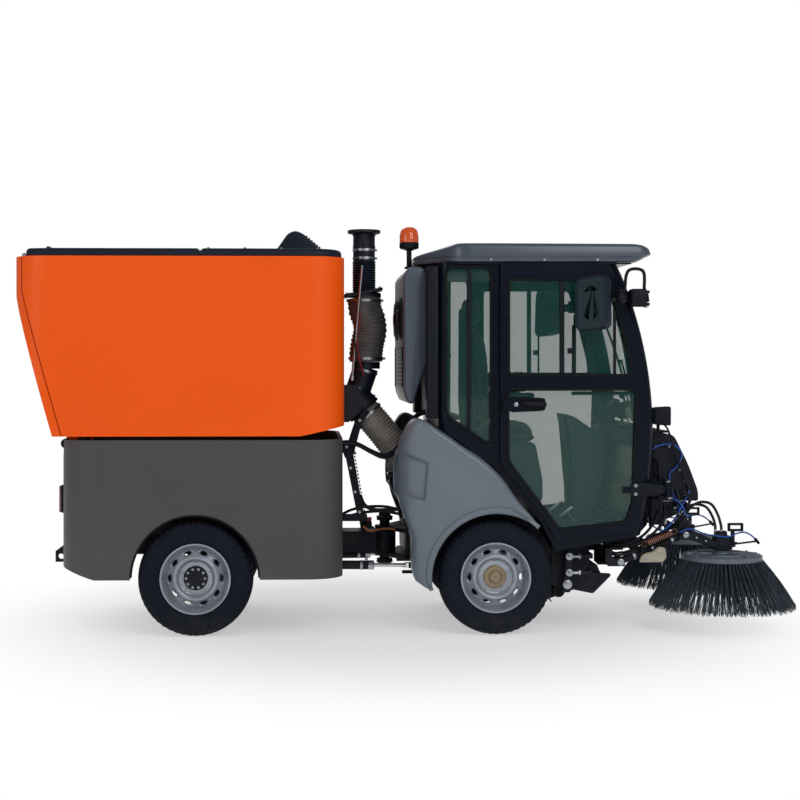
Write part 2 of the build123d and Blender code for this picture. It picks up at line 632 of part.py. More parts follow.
with BuildPart() as front_frame:
    for low, high in (FORK_HIGH, FORK_LOW):
        with BuildSketch(Plane.XY.offset(low)) as plate:
            with BuildLine():
                Polyline(
                    (KINGPIN_X, -55),
                    (KINGPIN_X, 55),
                    (-10, RAIL_OUT),
                    (60, RAIL_OUT),
                    (60, -RAIL_OUT),
                    (-10, -RAIL_OUT),
                    close=True,
                )
            make_face()
            with Locations((KINGPIN_X, 0)):
                Circle(55)
        extrude(to_extrude=plate.sketch, amount=high - low)
    rod((KINGPIN_X, 0, KINGPIN_LOW), (KINGPIN_X, 0, KINGPIN_HIGH), KINGPIN_R)
    for low, high in ((KINGPIN_LOW, KINGPIN_LOW + 14), (KINGPIN_HIGH - 14, KINGPIN_HIGH)):
        rod((KINGPIN_X, 0, low), (KINGPIN_X, 0, high), 44)
    block((0, 60), (-RAIL_OUT, RAIL_OUT), (FORK_LOW[0], FORK_HIGH[1]))
    for side in SIDES.values():
        rail = mirrored((RAIL_IN, RAIL_OUT), side)
        block((40, FRONT_RAIL_END), rail, (FRONT_RAIL_LOW, FRONT_RAIL_HIGH))
        block(OUTRIGGER_X, mirrored((RAIL_IN, FENDER_OUT - FENDER_WALL - SEAT), side), (580, 640))
        block(OUTRIGGER_X, rail, (FRONT_RAIL_HIGH, 640))
        eye = (ROD_EYE[0], side * ROD_EYE[1], ROD_EYE[2])
        for face in (-42, 30):
            block((eye[0] - 34, 84), (eye[1] - 26, eye[1] + 26), (eye[2] + face, eye[2] + face + 12))
        block((60, 84), mirrored((RAIL_IN, ROD_EYE[1] + 26), side), (eye[2] - 42, FRONT_RAIL_LOW + 10))
        for foot_x in CAB_FEET_X:
            block((foot_x, foot_x + 60), rail, (FRONT_RAIL_HIGH, CAB_UNDER - SEAT))
        block(
            (SWING_X - 30, SWING_X + 30),
            mirrored((RAIL_OUT - 10, SWING_Y - 34), side),
            (FRONT_RAIL_LOW - 60, FRONT_RAIL_HIGH - 20),
        )
        for low in (FRONT_RAIL_LOW - 64, FRONT_RAIL_HIGH - 34):
            block(
                (SWING_X - 30, SWING_X + 30), mirrored((SWING_Y - 40, SWING_Y + 26), side), (low, low + 14)
            )
        rod(
            (SWING_X, side * SWING_Y, FRONT_RAIL_LOW - 64),
            (SWING_X, side * SWING_Y, FRONT_RAIL_HIGH - 20),
            12,
        )
        arm = [(FRONT_RAIL_END, 410), (FRONT_RAIL_END, 468), (1290, 560), (1290, BOX_LOW - SEAT)]
        arm += [(1340, BOX_LOW - SEAT), (1340, 530), (1236, 410)]
        slab(arm, mirrored((140, 152), side))
        rod(
            (NOZZLE_PIVOT[0], side * RAIL_IN, NOZZLE_PIVOT[1]),
            (NOZZLE_PIVOT[0], side * (RAIL_OUT + 26), NOZZLE_PIVOT[1]),
            12,
        )
    block((FRONT_RAIL_END - 60, FRONT_RAIL_END), (-RAIL_OUT, RAIL_OUT), (FRONT_RAIL_LOW, FRONT_RAIL_HIGH))
    slab(
        [
            (FRONT_RAIL_END, 410),
            (FRONT_RAIL_END, 470),
            (1330, 440),
            (1370, 400),
            (1370, 352),
            (1310, 352),
            (1240, 400),
        ],
        (-12, 12),
    )
    rod((1336, -12, 385), (1336, 12, 385), 16, mode=Mode.SUBTRACT)
place(front_frame, "front_frame")

FENDER_EDGE = [
    (104, 242),
    (42, 278),
    (21, 304),
    (10, 502),
    (-52, 690),
    (-68, 740),
    (-70, 866),
    (-57, 970),
    (-26, 1063),
    (42, 1131),
    (156, 1068),
    (270, 990),
    (364, 928),
    (468, 834),
    (546, 725),
    (598, 658),
    (668, 569),
]


def fender_body(side, wall):
    """Fender outline with its rear corner rounded in plan, set in by a wall."""
    with BuildSketch(Plane.XZ.offset(-FENDER_OUT if side > 0 else FENDER_IN)) as outline:
        with BuildLine():
            Polyline(*FENDER_EDGE, (448, 400), close=True)
        make_face()
        if wall:
            offset(amount=-wall)
    extrude(to_extrude=outline.sketch, amount=FENDER_OUT - FENDER_IN)
    with BuildSketch(Plane.XY.offset(200)) as plan:
        with Locations((FENDER_EDGE[6][0] + 400 + wall, 0)):
            RectangleRounded(800, 2 * (FENDER_OUT - wall), FENDER_CORNER_R - wall)
    extrude(to_extrude=plan.sketch, amount=1000, mode=Mode.INTERSECT)


with BuildPart() as front_fenders:
    for side in SIDES.values():
        with BuildPart(mode=Mode.PRIVATE) as room:
            fender_body(side, FENDER_WALL)
            arch = ARCH_R + FENDER_WALL
            rod((FRONT_AXLE_X, -700, WHEEL_R), (FRONT_AXLE_X, 700, WHEEL_R), arch, mode=Mode.SUBTRACT)
        with BuildPart(mode=Mode.PRIVATE) as shell:
            fender_body(side, 0)
            rod((FRONT_AXLE_X, -700, WHEEL_R), (FRONT_AXLE_X, 700, WHEEL_R), ARCH_R, mode=Mode.SUBTRACT)
            add(room.part, mode=Mode.SUBTRACT)
        add(shell.part)
place(front_fenders, "front_fenders")

# ================================================================== cab
CAB_IN = CAB_HALF - CAB_WALL


def front_x(z, inset=0):
    """How far forward the curved front stands at a height."""
    radius = CAB_FRONT_R - inset
    return CAB_FRONT - inset - radius + sqrt(radius**2 - (z - CAB_FRONT_Z) ** 2)


def cab_face(inset):
    """Side outline of the cab in x and z, set in by a wall."""
    floor = [
        (CAB_REAR + inset, HAUNCH_TOP_Z + inset),
        (HAUNCH_MID[0] + inset * 0.7, HAUNCH_MID[1] + inset * 0.7),
        (HAUNCH_LOW[0] + inset * 0.9, HAUNCH_LOW[1] + inset * 0.7),
        (SILL_REAR[0] + inset * 0.5, SILL_REAR[1] + inset),
    ]
    nose_low = (front_x(SILL_FRONT_Z + inset, inset), SILL_FRONT_Z + inset)
    nose_high = (front_x(CAB_TOP, inset), CAB_TOP)
    with BuildSketch(Plane.XZ) as face:
        with BuildLine():
            Polyline((CAB_REAR + inset, CAB_TOP), *floor, nose_low)
            ThreePointArc(nose_low, (CAB_FRONT - inset, CAB_FRONT_Z), nose_high)
            Line(nose_high, (CAB_REAR + inset, CAB_TOP))
        make_face()
    return face.sketch


def door_edge(grow):
    """Outline of a door in x and z, grown or shrunk all round."""
    points = [
        (470, 1940),
        (470, 905),
        (480, 891),
        (704, 604),
        (762, 497),
        (1157, 540),
        (1186, 560),
        (1246, 917),
        (1250, 1060),
        (1214, 1516),
        (1105, 1797),
        (1033, 1940),
    ]
    with BuildSketch(Plane.XZ) as face:
        with BuildLine():
            Polyline(*points, close=True)
        make_face()
        if grow:
            offset(amount=grow)
    return face.sketch


UPPER_PANE = [(512, 1860), (512, 1358), (1160, 1356), (1148, 1450), (1110, 1600), (1038, 1860)]
LOWER_PANE = [(508, 1285), (508, 910), (780, 550), (1130, 590), (1165, 690), (1185, 1285)]
REAR_PANE = [(185, 1925), (185, 1150), (300, 1070), (425, 985), (425, 1925)]

with BuildPart() as cab_room:
    extrude(to_extrude=cab_face(CAB_WALL), amount=CAB_IN, both=True)
    block((CAB_REAR, CAB_FRONT), (-CAB_HALF, CAB_HALF), (0, CAB_UNDER + CAB_WALL), mode=Mode.SUBTRACT)

with BuildPart() as cab_frame:
    extrude(to_extrude=cab_face(0), amount=CAB_HALF, both=True)
    fillet(
        cab_frame.edges().filter_by(
            lambda e: e.center().X > 1100 and abs(abs(e.center().Y) - CAB_HALF) < 1 and e.length > 800,
        ),
        CAB_NOSE_R,
    )
    fillet(cab_frame.edges().filter_by(Axis.Z).group_by(Axis.X)[0], 60)
    add(cab_room.part, mode=Mode.SUBTRACT)
    for side in SIDES.values():
        between(door_edge(-28), mirrored((CAB_IN - 45, CAB_HALF + 1), side), mode=Mode.SUBTRACT)
    block((600, CAB_FRONT), (-CAB_IN + 35, CAB_IN - 35), (0, CAB_UNDER), mode=Mode.SUBTRACT)
    slab(REAR_PANE, (-CAB_HALF - 1, CAB_HALF + 1), mode=Mode.SUBTRACT)
    for x, z in (HINGE_LOW, HINGE_HIGH):
        for side in SIDES.values():
            for low in (z - HINGE_KNUCKLE_H / 2 - 17, z + HINGE_KNUCKLE_H / 2 + 3):
                with BuildSketch(Plane.XY.offset(low)) as lug:
                    with BuildLine():
                        Polyline(
                            (x - 115, side * (CAB_HALF - 40)),
                            (x + 20, side * (CAB_HALF - 40)),
                            (x + 20, side * (HINGE_Y + 18)),
                            (x - 20, side * (HINGE_Y + 18)),
                            (x - 20, side * CAB_HALF),
                            (x - 115, side * CAB_HALF),
                            close=True,
                        )
                    make_face()
                extrude(to_extrude=lug.sketch, amount=14)
            lean = (HINGE_HIGH[0] - HINGE_LOW[0]) / (HINGE_HIGH[1] - HINGE_LOW[1])
            reach = HINGE_KNUCKLE_H / 2 + 16
            rod(
                (x - lean * reach, side * HINGE_Y, z - reach),
                (x + lean * reach, side * HINGE_Y, z + reach),
                HINGE_PIN_R,
            )
    block(
        (CAB_FRONT - 420, CAB_FRONT + 10),
        (-WINDSCREEN_HALF, WINDSCREEN_HALF),
        (WINDSCREEN_LOW, WINDSCREEN_HIGH),
        mode=Mode.SUBTRACT,
    )
    block((CAB_REAR - 1, CAB_REAR + CAB_WALL + 1), (-380, 380), (1500, 1850), mode=Mode.SUBTRACT)
place(cab_frame, "cab_frame")



def pane_face(points):
    """Outline of a pane in x and z, a seat's clearance inside its opening."""
    with BuildSketch(Plane.XZ) as face:
        with BuildLine():
            Polyline(*points, close=True)
        make_face()
        offset(amount=-SEAT)
    return face.sketch


with BuildPart() as windscreen:
    block(
        (900, CAB_FRONT + 10),
        (-WINDSCREEN_HALF + SEAT, WINDSCREEN_HALF - SEAT),
        (WINDSCREEN_LOW + SEAT, WINDSCREEN_HIGH - SEAT),
    )
    extrude(to_extrude=cab_face(8), amount=CAB_HALF, both=True, mode=Mode.INTERSECT)
    extrude(to_extrude=cab_face(8 + GLASS_T), amount=CAB_HALF, both=True, mode=Mode.SUBTRACT)

with BuildPart() as cab_glass:
    for side in SIDES.values():
        pane_y = (CAB_HALF - 14, CAB_HALF - 14 + GLASS_T)
        between(pane_face(REAR_PANE), mirrored(pane_y, side))
    add(windscreen.part)
place(cab_glass, "cab_glass")

ROOF_PLAN = [
    (ROOF_REAR, -ROOF_HALF + ROOF_TAPER[1]),
    (ROOF_REAR + ROOF_TAPER[0], -ROOF_HALF),
    (ROOF_FRONT, -ROOF_HALF),
    (ROOF_FRONT, ROOF_HALF),
    (ROOF_REAR + ROOF_TAPER[0], ROOF_HALF),
    (ROOF_REAR, ROOF_HALF - ROOF_TAPER[1]),
]
with BuildPart() as cab_roof:
    with BuildSketch(Plane.XY.offset(CAB_TOP + SEAT)) as plan:
        with BuildLine():
            Polyline(*ROOF_PLAN, close=True)
        make_face()
        fillet(plan.vertices(), 70)
    extrude(to_extrude=plan.sketch, amount=ROOF_TOP - CAB_TOP - SEAT)
    with BuildSketch(Plane.XY.offset(CAB_TOP)) as plan:
        with BuildLine():
            Polyline(*ROOF_PLAN, close=True)
        make_face()
        fillet(plan.vertices(), 70)
        offset(amount=-50)
    extrude(to_extrude=plan.sketch, amount=ROOF_TOP - CAB_TOP - ROOF_WALL, mode=Mode.SUBTRACT)
    fillet(cab_roof.faces().sort_by(Axis.Z)[-1].edges(), 16)
    slope = [
        (ROOF_REAR - 10, 2010),
        (ROOF_REAR + ROOF_TAPER[0], ROOF_TOP),
        (ROOF_REAR + ROOF_TAPER[0], 2200),
        (ROOF_REAR - 10, 2200),
    ]
    slab(slope, (-ROOF_HALF, ROOF_HALF), mode=Mode.SUBTRACT)
place(cab_roof, "cab_roof")

AC_HALF = 430
with BuildPart() as ac_unit:
    slab(
        [
            (4, 1205),
            (-22, 1260),
            (-22, 1900),
            (10, 1936),
            (80, 1936),
            (128, 1850),
            (128, 1480),
            (60, 1300),
            (30, 1205),
        ],
        (-AC_HALF, AC_HALF),
    )
    for side in SIDES.values():
        block((60, CAB_REAR - SEAT), mirrored((390, 425), side), (1560, 1620))
place(ac_unit, "ac_unit")

BEACON = (20, -200)
with BuildPart() as beacon:
    rod((*BEACON, 1936 + SEAT), (*BEACON, 2040), 14)
    rod((*BEACON, 2038), (*BEACON, 2080), 50)
    rod((*BEACON, 2080), (*BEACON, 2165), 48)
place(beacon, "beacon")

SEAT_Y = -240
CUSHION_HALF = 240
SEAT_BASE = [(500, 859), (680, 650), (712, 700), (712, 800), (672, 980), (500, 980)]
CUSHION = [(380, 975), (672, 975), (660, 1040), (610, 1090), (560, 1115), (400, 1110)]
BACKREST = [(330, 1012), (440, 1012), (430, 1115), (385, 1720), (345, 1760), (305, 1720)]
with BuildPart() as driver_seat:
    for outline in (SEAT_BASE, CUSHION, BACKREST):
        slab(outline, (SEAT_Y - CUSHION_HALF, SEAT_Y + CUSHION_HALF))
place(driver_seat, "driver_seat")

CONSOLE_LOW = CAB_UNDER + CAB_WALL + SEAT
COLUMN = [
    (885, CONSOLE_LOW),
    (985, CONSOLE_LOW),
    (1068, 818),
    (1072, 1040),
    (1000, 1065),
    (900, 1135),
    (835, 1150),
    (872, 1010),
]
with BuildPart() as steering_console:
    slab(COLUMN, (SEAT_Y - 110, SEAT_Y + 110))
    rod((1055, SEAT_Y, 1000), (1130, SEAT_Y, 1150), 25)
    with BuildSketch(Plane(origin=(1130, SEAT_Y, 1150), z_dir=(-0.45, 0, 0.89))) as wheel:
        Circle(120)
        Circle(100, mode=Mode.SUBTRACT)
        Rectangle(24, 230)
    extrude(to_extrude=wheel.sketch, amount=22)
place(steering_console, "steering_console")

BOX_HALF = 420
with BuildPart() as front_box:
    slab(
        [
            (1294, BOX_LOW),
            (1294, 1040),
            (1330, 1049),
            (1425, 1039),
            (1505, 879),
            (1558, 735),
            (1558, BOX_LOW),
        ],
        (-BOX_HALF, BOX_HALF),
    )
place(front_box, "front_box")

with BuildPart() as work_lamps:
    for side in SIDES.values():
        block((CAB_FRONT + SEAT, 1330), mirrored((455, 475), side), (1052, 1072))
        block((1318, 1332), mirrored((455, 475), side), (1052, 1100))
        block((1300, 1390), mirrored((425, 505), side), (1090, 1190))
place(work_lamps, "work_lamps")

DOOR_Y = (CAB_HALF + DOOR_GAP, CAB_HALF + DOOR_GAP + DOOR_T)
MIRROR_AT = (945, 122, 1724)  # middle: x, distance out from the door, z
MIRROR_SIZE = (100, 190, 283)  # deep, wide and tall
MIRROR_TURN = 45  # glass turned outwards from straight back
MIRROR_ARM_X = 1190
lean = Vector(HINGE_HIGH[0] - HINGE_LOW[0], 0, HINGE_HIGH[1] - HINGE_LOW[1]).normalized()
for side_name, side in SIDES.items():
    with BuildPart() as door:
        between(door_edge(0), mirrored(DOOR_Y, side))
        for pane in (UPPER_PANE, LOWER_PANE):
            slab(pane, mirrored(DOOR_Y, side), mode=Mode.SUBTRACT)
        for x, z in (HINGE_LOW, HINGE_HIGH):
            centre = Vector(x, side * HINGE_Y, z)
            tip = lean * HINGE_KNUCKLE_H * 0.5
            rod(centre - tip, centre + tip, HINGE_KNUCKLE_R)
            block((x - 240, x), mirrored((DOOR_Y[1], DOOR_Y[1] + 12), side), (z - 16, z + 16))
            rod(centre - tip * 2, centre + tip * 2, HINGE_PIN_R + RUN, mode=Mode.SUBTRACT)
        block((478, 700), mirrored((DOOR_Y[1] - 2, DOOR_Y[1] + 28), side), (1180, 1235))
    place(door, f"door_{side_name}")
    with BuildPart() as door_glass:
        glass_y = (DOOR_Y[0] + 9, DOOR_Y[0] + 9 + GLASS_T)
        for pane in (UPPER_PANE, LOWER_PANE):
            between(pane_face(pane), mirrored(glass_y, side))
    place(door_glass, f"door_glass_{side_name}")
    with BuildPart() as mirror_unit:
        root = (MIRROR_ARM_X, side * (DOOR_Y[1] + 12 + 3.5), HINGE_HIGH[1])
        elbow = (MIRROR_ARM_X, side * (DOOR_Y[1] + 95), HINGE_HIGH[1] + 30)
        rod(root, elbow, 10)
        rod(elbow, (1020, side * (DOOR_Y[1] + 135), 1840), 10)
        x, out, z = MIRROR_AT
        with Locations(Location((x, side * (DOOR_Y[1] + out), z), (0, 0, -side * MIRROR_TURN))):
            Box(*MIRROR_SIZE)
    place(mirror_unit, f"mirror_{side_name}")

# ------------------------------------------------------------------ brushes
KNUCKLE_Z = (FRONT_RAIL_LOW - 49, FRONT_RAIL_HIGH - 35)
for side_name, side in SIDES.items():
    with BuildPart() as knuckle:
        rod((SWING_X, side * SWING_Y, KNUCKLE_Z[0]), (SWING_X, side * SWING_Y, KNUCKLE_Z[1]), 24)
        block(
            (SWING_X - 12, SWING_X + 24),
            mirrored((SWING_Y, BRUSH_Y + 34), side),
            (KNUCKLE_Z[0] + 8, KNUCKLE_Z[1] - 8),
        )
        for face in (-34, 24):
            cheek = mirrored((BRUSH_Y + face, BRUSH_Y + face + 10), side)
            block((SWING_X, ARM_PIVOT[0] + 22), cheek, (ARM_PIVOT[1] - 22, ARM_PIVOT[1] + 22))
        ends = mirrored((BRUSH_Y - 34, BRUSH_Y + 34), side)
        rod((ARM_PIVOT[0], ends[0], ARM_PIVOT[1]), (ARM_PIVOT[0], ends[1], ARM_PIVOT[1]), 10)
        pin = SWING_X, side * SWING_Y
        rod((*pin, KNUCKLE_Z[0]), (*pin, KNUCKLE_Z[1]), 12 + RUN, mode=Mode.SUBTRACT)
    place(knuckle, f"brush_knuckle_{side_name}")
    with BuildPart() as arm:
        low = Vector(ARM_PIVOT[0], side * BRUSH_Y, ARM_PIVOT[1])
        high = Vector(HEAD_PIVOT[0], side * BRUSH_Y, HEAD_PIVOT[1])
        rod(low, high, 19)
        half = Vector(0, 22, 0)
        for eye in (low, high):
            rod(eye - half, eye + half, 22)
        for eye in (low, high):
            rod(eye - half, eye + half, 10 + RUN, mode=Mode.SUBTRACT)
    place(arm, f"brush_arm_{side_name}")
    with BuildPart() as head:
        for face in (-34, 24):
            cheek = mirrored((BRUSH_Y + face, BRUSH_Y + face + 10), side)
            x, z = HEAD_PIVOT
            foot = BRUSH_X - 60
            slab(
                [
                    (x - 20, z - 22),
                    (x + 20, z - 22),
                    (foot, 440),
                    (foot, 470),
                    (x + 20, z + 23),
                    (x - 20, z + 23),
                ],
                cheek,
            )
        ends = mirrored((BRUSH_Y - 34, BRUSH_Y + 34), side)
        rod((HEAD_PIVOT[0], ends[0], HEAD_PIVOT[1]), (HEAD_PIVOT[0], ends[1], HEAD_PIVOT[1]), 10)
        block((BRUSH_X - 90, BRUSH_X + 65), ends, (440, 456))
        rod((BRUSH_X, side * BRUSH_Y, 424), (BRUSH_X, side * BRUSH_Y, 490), 48)
    place(head, f"brush_head_{side_name}")
    centre = BRUSH_X, side * BRUSH_Y
    with BuildPart() as disc:
        rod((*centre, BRUSH_PLATE_Z), (*centre, 410), BRUSH_PLATE_R)
        rod((*centre, 410), (*centre, 424 - RUN), 40)
    place(disc, f"brush_disc_{side_name}")
    with BuildPart() as bristles:
        with BuildSketch(Plane.XZ.offset(-side * BRUSH_Y)):
            with BuildLine():
                Polyline(
                    (BRUSH_X + BRUSH_PLATE_R - 8, BRUSH_PLATE_Z - SEAT),
                    (BRUSH_X + BRUSH_TIP_R, BRUSH_TIP_Z),
                    (BRUSH_X + BRUSH_TIP_R - 90, BRUSH_TIP_Z),
                    (BRUSH_X + BRUSH_PLATE_R - 60, BRUSH_PLATE_Z - SEAT),
                    close=True,
                )
            make_face()
        revolve(axis=Axis((*centre, 0), (0, 0, 1)))
    place(bristles, f"brush_bristles_{side_name}")

# ------------------------------------------------------------------ suction path below the cab
with BuildPart() as hose_collar:
    slab(
        [(-314, 952), (-300, 952), (-208, 508), (-222, NECK_HIGH + SEAT), (-236, NECK_HIGH + SEAT)],
        (-90, 90),
    )
    rod(SEAL + FALL * SEAT, SEAL + FALL * 15, 98)
    for side in SIDES.values():
        slab(
            [(-330, 900), (-285, 900), (-236, 1090), (-192, 1150), (-220, 1175), (-262, 1110)],
            mirrored((106, 116), side),
        )
        block((-330, -285), mirrored((88, 116), side), (900, 940))
        block((-228, -206), mirrored((90, 116), side), (1142, 1156))
place(hose_collar, "hose_collar")

start = SEAL + FALL * (15 + SEAT)
turn = SEAL + FALL * 130
with BuildPart() as suction_hose:
    hose([(start.X, start.Z), (turn.X, turn.Z), (-29, 924), (0, 850), (0, 790)], SUCTION_HOSE_R, 95)
place(suction_hose, "suction_hose")

DUCT_END = [(560, 478), (640, 462)]
with BuildPart() as suction_duct:
    hose([(0, 790 - SEAT), (0, 725), (190, 600), (430, 500), *DUCT_END], DUCT_R, 120)
    block((0, 60), (-RAIL_OUT, RAIL_OUT), (FORK_HIGH[1] + SEAT, FORK_HIGH[1] + 12))
    for side in SIDES.values():
        block((0, 60), mirrored((68, 96), side), (FORK_HIGH[1] + SEAT, 720))
place(suction_duct, "suction_duct")

NOZZLE_FRAME = Plane(
    origin=(NOZZLE_PIVOT[0], 0, NOZZLE_PIVOT[1]),
    x_dir=(cos(radians(NOZZLE_TILT)), 0, sin(radians(NOZZLE_TILT))),
    z_dir=(0, -1, 0),
)
ARM_Y = (RAIL_OUT + 8, RAIL_OUT + 20)
THROAT_X = 450
THROAT_TOP = -262


def throat(height):
    """Point on the middle line of the nozzle's throat."""
    return NOZZLE_FRAME.from_local_coords((THROAT_X, height, 0))


with BuildPart() as nozzle:
    for side in SIDES.values():
        near = NOZZLE_FRAME.offset(-max(mirrored(ARM_Y, side)))
        with BuildSketch(near) as plate:
            with BuildLine():
                Polyline(
                    (-24, -20),
                    (24, -20),
                    (180, -90),
                    (330, -330),
                    (420, -330),
                    (200, -50),
                    (24, 22),
                    (-24, 22),
                    close=True,
                )
            make_face()
        extrude(to_extrude=plate.sketch, amount=12)
    with BuildSketch(NOZZLE_FRAME.offset(-390)) as shell:
        with BuildLine():
            Polyline(
                (330, -330), (330, -420), (640, -420), (640, -340), (580, -310), (360, -310), close=True
            )
        make_face()
    extrude(to_extrude=shell.sketch, amount=780)
    with BuildSketch(NOZZLE_FRAME.offset(-378)) as room:
        with BuildLine():
            Polyline(
                (342, -335), (342, -421), (628, -421), (628, -346), (576, -322), (364, -322), close=True
            )
        make_face()
    extrude(to_extrude=room.sketch, amount=756, mode=Mode.SUBTRACT)
    rod(throat(-312), throat(THROAT_TOP), 94)
    rod(throat(-330), throat(THROAT_TOP), 86, mode=Mode.SUBTRACT)
    for side in SIDES.values():
        pin = NOZZLE_PIVOT[0], side * (RAIL_OUT + 3), NOZZLE_PIVOT[1]
        rod(pin, (pin[0], side * (RAIL_OUT + 30), pin[2]), 12 + RUN, mode=Mode.SUBTRACT)
place(nozzle, "suction_nozzle")

with BuildPart() as nozzle_boot:
    mouth = throat(THROAT_TOP + SEAT)
    above = throat(THROAT_TOP + 60)
    away = Vector(DUCT_END[1][0] - DUCT_END[0][0], 0, DUCT_END[1][1] - DUCT_END[0][1]).normalized()
    root = Vector(DUCT_END[1][0], 0, DUCT_END[1][1]) + away * SEAT
    bend = root + away * 84
    hose([(root.X, root.Z), (bend.X, bend.Z), (above.X, above.Z), (mouth.X, mouth.Z)], DUCT_R, 88)
place(nozzle_boot, "nozzle_boot")

with BuildPart() as loom:
    hose(
        [
            (PANEL_FRONT + SEAT, 985),
            (-270, 985),
            (-191, 935),
            (-114, 905),
            (-42, 955),
            (10, 1070),
            (80, 1160),
            (CAB_REAR - SEAT, 1160),
        ],
        18,
        34,
        y=-240,
    )
place(loom, "loom")

print("whole machine done")
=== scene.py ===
"""Looks of a compact articulated street sweeper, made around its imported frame.

Metres, +X forward, +Y to the machine's left, +Z up. A shape is a pair: its points, and a list of index
arrays, one for each kind of face. Outlines are given in two axes of the machine and lifted along the third.
Tables in mm([...]) hold millimetres.
"""

import math

import bmesh
import bpy
import numpy as np
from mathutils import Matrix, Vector


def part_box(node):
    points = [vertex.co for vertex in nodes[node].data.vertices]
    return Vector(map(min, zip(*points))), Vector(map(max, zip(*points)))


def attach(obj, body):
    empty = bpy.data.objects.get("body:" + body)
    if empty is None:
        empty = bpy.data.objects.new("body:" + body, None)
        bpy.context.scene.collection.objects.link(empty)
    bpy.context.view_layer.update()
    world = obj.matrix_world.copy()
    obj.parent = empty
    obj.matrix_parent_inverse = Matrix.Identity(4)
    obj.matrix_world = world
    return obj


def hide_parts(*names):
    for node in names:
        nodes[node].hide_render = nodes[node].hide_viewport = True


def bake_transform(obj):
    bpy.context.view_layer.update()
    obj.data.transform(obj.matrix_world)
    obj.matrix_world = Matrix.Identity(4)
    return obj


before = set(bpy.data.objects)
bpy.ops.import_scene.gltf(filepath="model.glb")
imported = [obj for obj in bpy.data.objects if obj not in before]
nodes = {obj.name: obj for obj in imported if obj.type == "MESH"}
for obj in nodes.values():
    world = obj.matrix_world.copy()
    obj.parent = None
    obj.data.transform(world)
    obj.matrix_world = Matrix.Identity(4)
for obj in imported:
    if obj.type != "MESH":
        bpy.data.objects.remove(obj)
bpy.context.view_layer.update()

SIDES = {"right": -1, "left": 1}
MM = 0.001
TURN = 2 * math.pi
AHEAD, LEFT, UP = (1, 0, 0), (0, 1, 0), (0, 0, 1)
FRONT = "front_chassis"
REAR = "rear_chassis"
KINGPIN_X = -0.104
SWING_PIN = (1.06, 0.33, 0)


def mm(table):
    """Rows of millimetres as tuples of metres."""
    return [tuple(round(value * MM, 7) for value in row) for row in table]


# ------------------------------ shapes


def grid(points, wrap_rows=False, wrap_cols=False, kept=None):
    """Four-cornered faces over a grid of points: each joins a point to its neighbours in row and column,
    and a wrapped side joins the last line to the first. kept says which faces stay."""
    rows, cols = points.shape[:2]
    index = np.arange(rows * cols).reshape(rows, cols)
    if wrap_rows:
        index = np.vstack([index, index[:1]])
    if wrap_cols:
        index = np.hstack([index, index[:, :1]])
    quads = np.stack([index[:-1, :-1], index[:-1, 1:], index[1:, 1:], index[1:, :-1]], axis=-1)
    quads = quads[kept] if kept is not None else quads.reshape(-1, 4)
    return points.reshape(-1, 3), [quads]


def closed(points):
    """A grid wrapped round its columns, with a flat face over its first and its last row."""
    verts, faces = grid(points, wrap_cols=True)
    rows, cols = points.shape[:2]
    return verts, faces + [np.arange(cols)[None, ::-1], np.arange((rows - 1) * cols, rows * cols)[None]]


def join(*shapes):
    """One shape of several: the points follow on, and each shape's indices go up by the points before
    it."""
    points, faces, before = [], [], 0
    for verts, parts in shapes:
        points.append(verts)
        faces += [part + before for part in parts]
        before += len(verts)
    return np.concatenate(points), faces


def basis(axis, up=UP):
    """Three unit vectors as rows, the last along the axis and the first at right angles to it and to up."""
    third = np.array(axis, float)
    third = third / np.linalg.norm(third)
    first = np.cross(up, third)
    if np.linalg.norm(first) < 1e-6:
        first = np.cross(LEFT, third)
    first = first / np.linalg.norm(first)
    return np.array([first, np.cross(third, first), third])


def laid(shape, origin, axis, up=UP):
    """A shape made about its own Z, laid with that Z along an axis: each point is the sum of its
    coordinates times the three vectors of the axis's frame, plus the origin."""
    return shape[0] @ basis(axis, up) + np.array(origin), shape[1]


def flipped(shape):
    """The same shape on the machine's other side: y changes its sign."""
    return shape[0] * np.array((1, -1, 1)), [part[:, ::-1] for part in shape[1]]


def lathe(profile, origin=(0, 0, 0), axis=UP, turns=40, kind="solid"):
    """Pairs of radius and height turned about an axis: x = r cos a, y = r sin a, z = h, then laid along the
    axis. A solid has a flat face over each end, a ring's profile joins its own start, and a skin is left
    open."""
    radius, height = np.array(profile, float).T
    angle = TURN * np.arange(turns) / turns
    x = radius[:, None] * np.cos(angle)
    y = radius[:, None] * np.sin(angle)
    z = np.repeat(height[:, None], turns, axis=1)
    points = np.stack([x, y, z], axis=-1)
    shape = closed(points) if kind == "solid" else grid(points, wrap_rows=kind == "ring", wrap_cols=True)
    return laid(shape, origin, axis)


def smooth_path(control, steps=8):
    """Catmull-Rom spline through the control points: each span is the cubic whose ends are two points and
    whose slopes there are half the way between their neighbours."""
    p = np.array(control, float)
    p = np.concatenate([2 * p[:1] - p[1:2], p, 2 * p[-1:] - p[-2:-1]])
    a, b, c, d = p[:-3, None], p[1:-2, None], p[2:-1, None], p[3:, None]
    t = (np.arange(steps) / steps)[None, :, None]
    spans = 0.5 * (2 * b + (c - a) * t + (2 * a - 5 * b + 4 * c - d) * t**2 + (3 * b - a - 3 * c + d)
                   * t**3)
    return np.concatenate([spans.reshape(-1, p.shape[1]), p[-2:-1]])


def even_path(path, step):
    """Points a fixed step apart along a path, by its running length."""
    path = np.array(path, float)
    length = np.concatenate([[0], np.cumsum(np.linalg.norm(np.diff(path, axis=0), axis=1))])
    at = np.linspace(0, length[-1], max(2, round(length[-1] / step) + 1))
    return np.stack([np.interp(at, length, column) for column in path.T], axis=-1), at


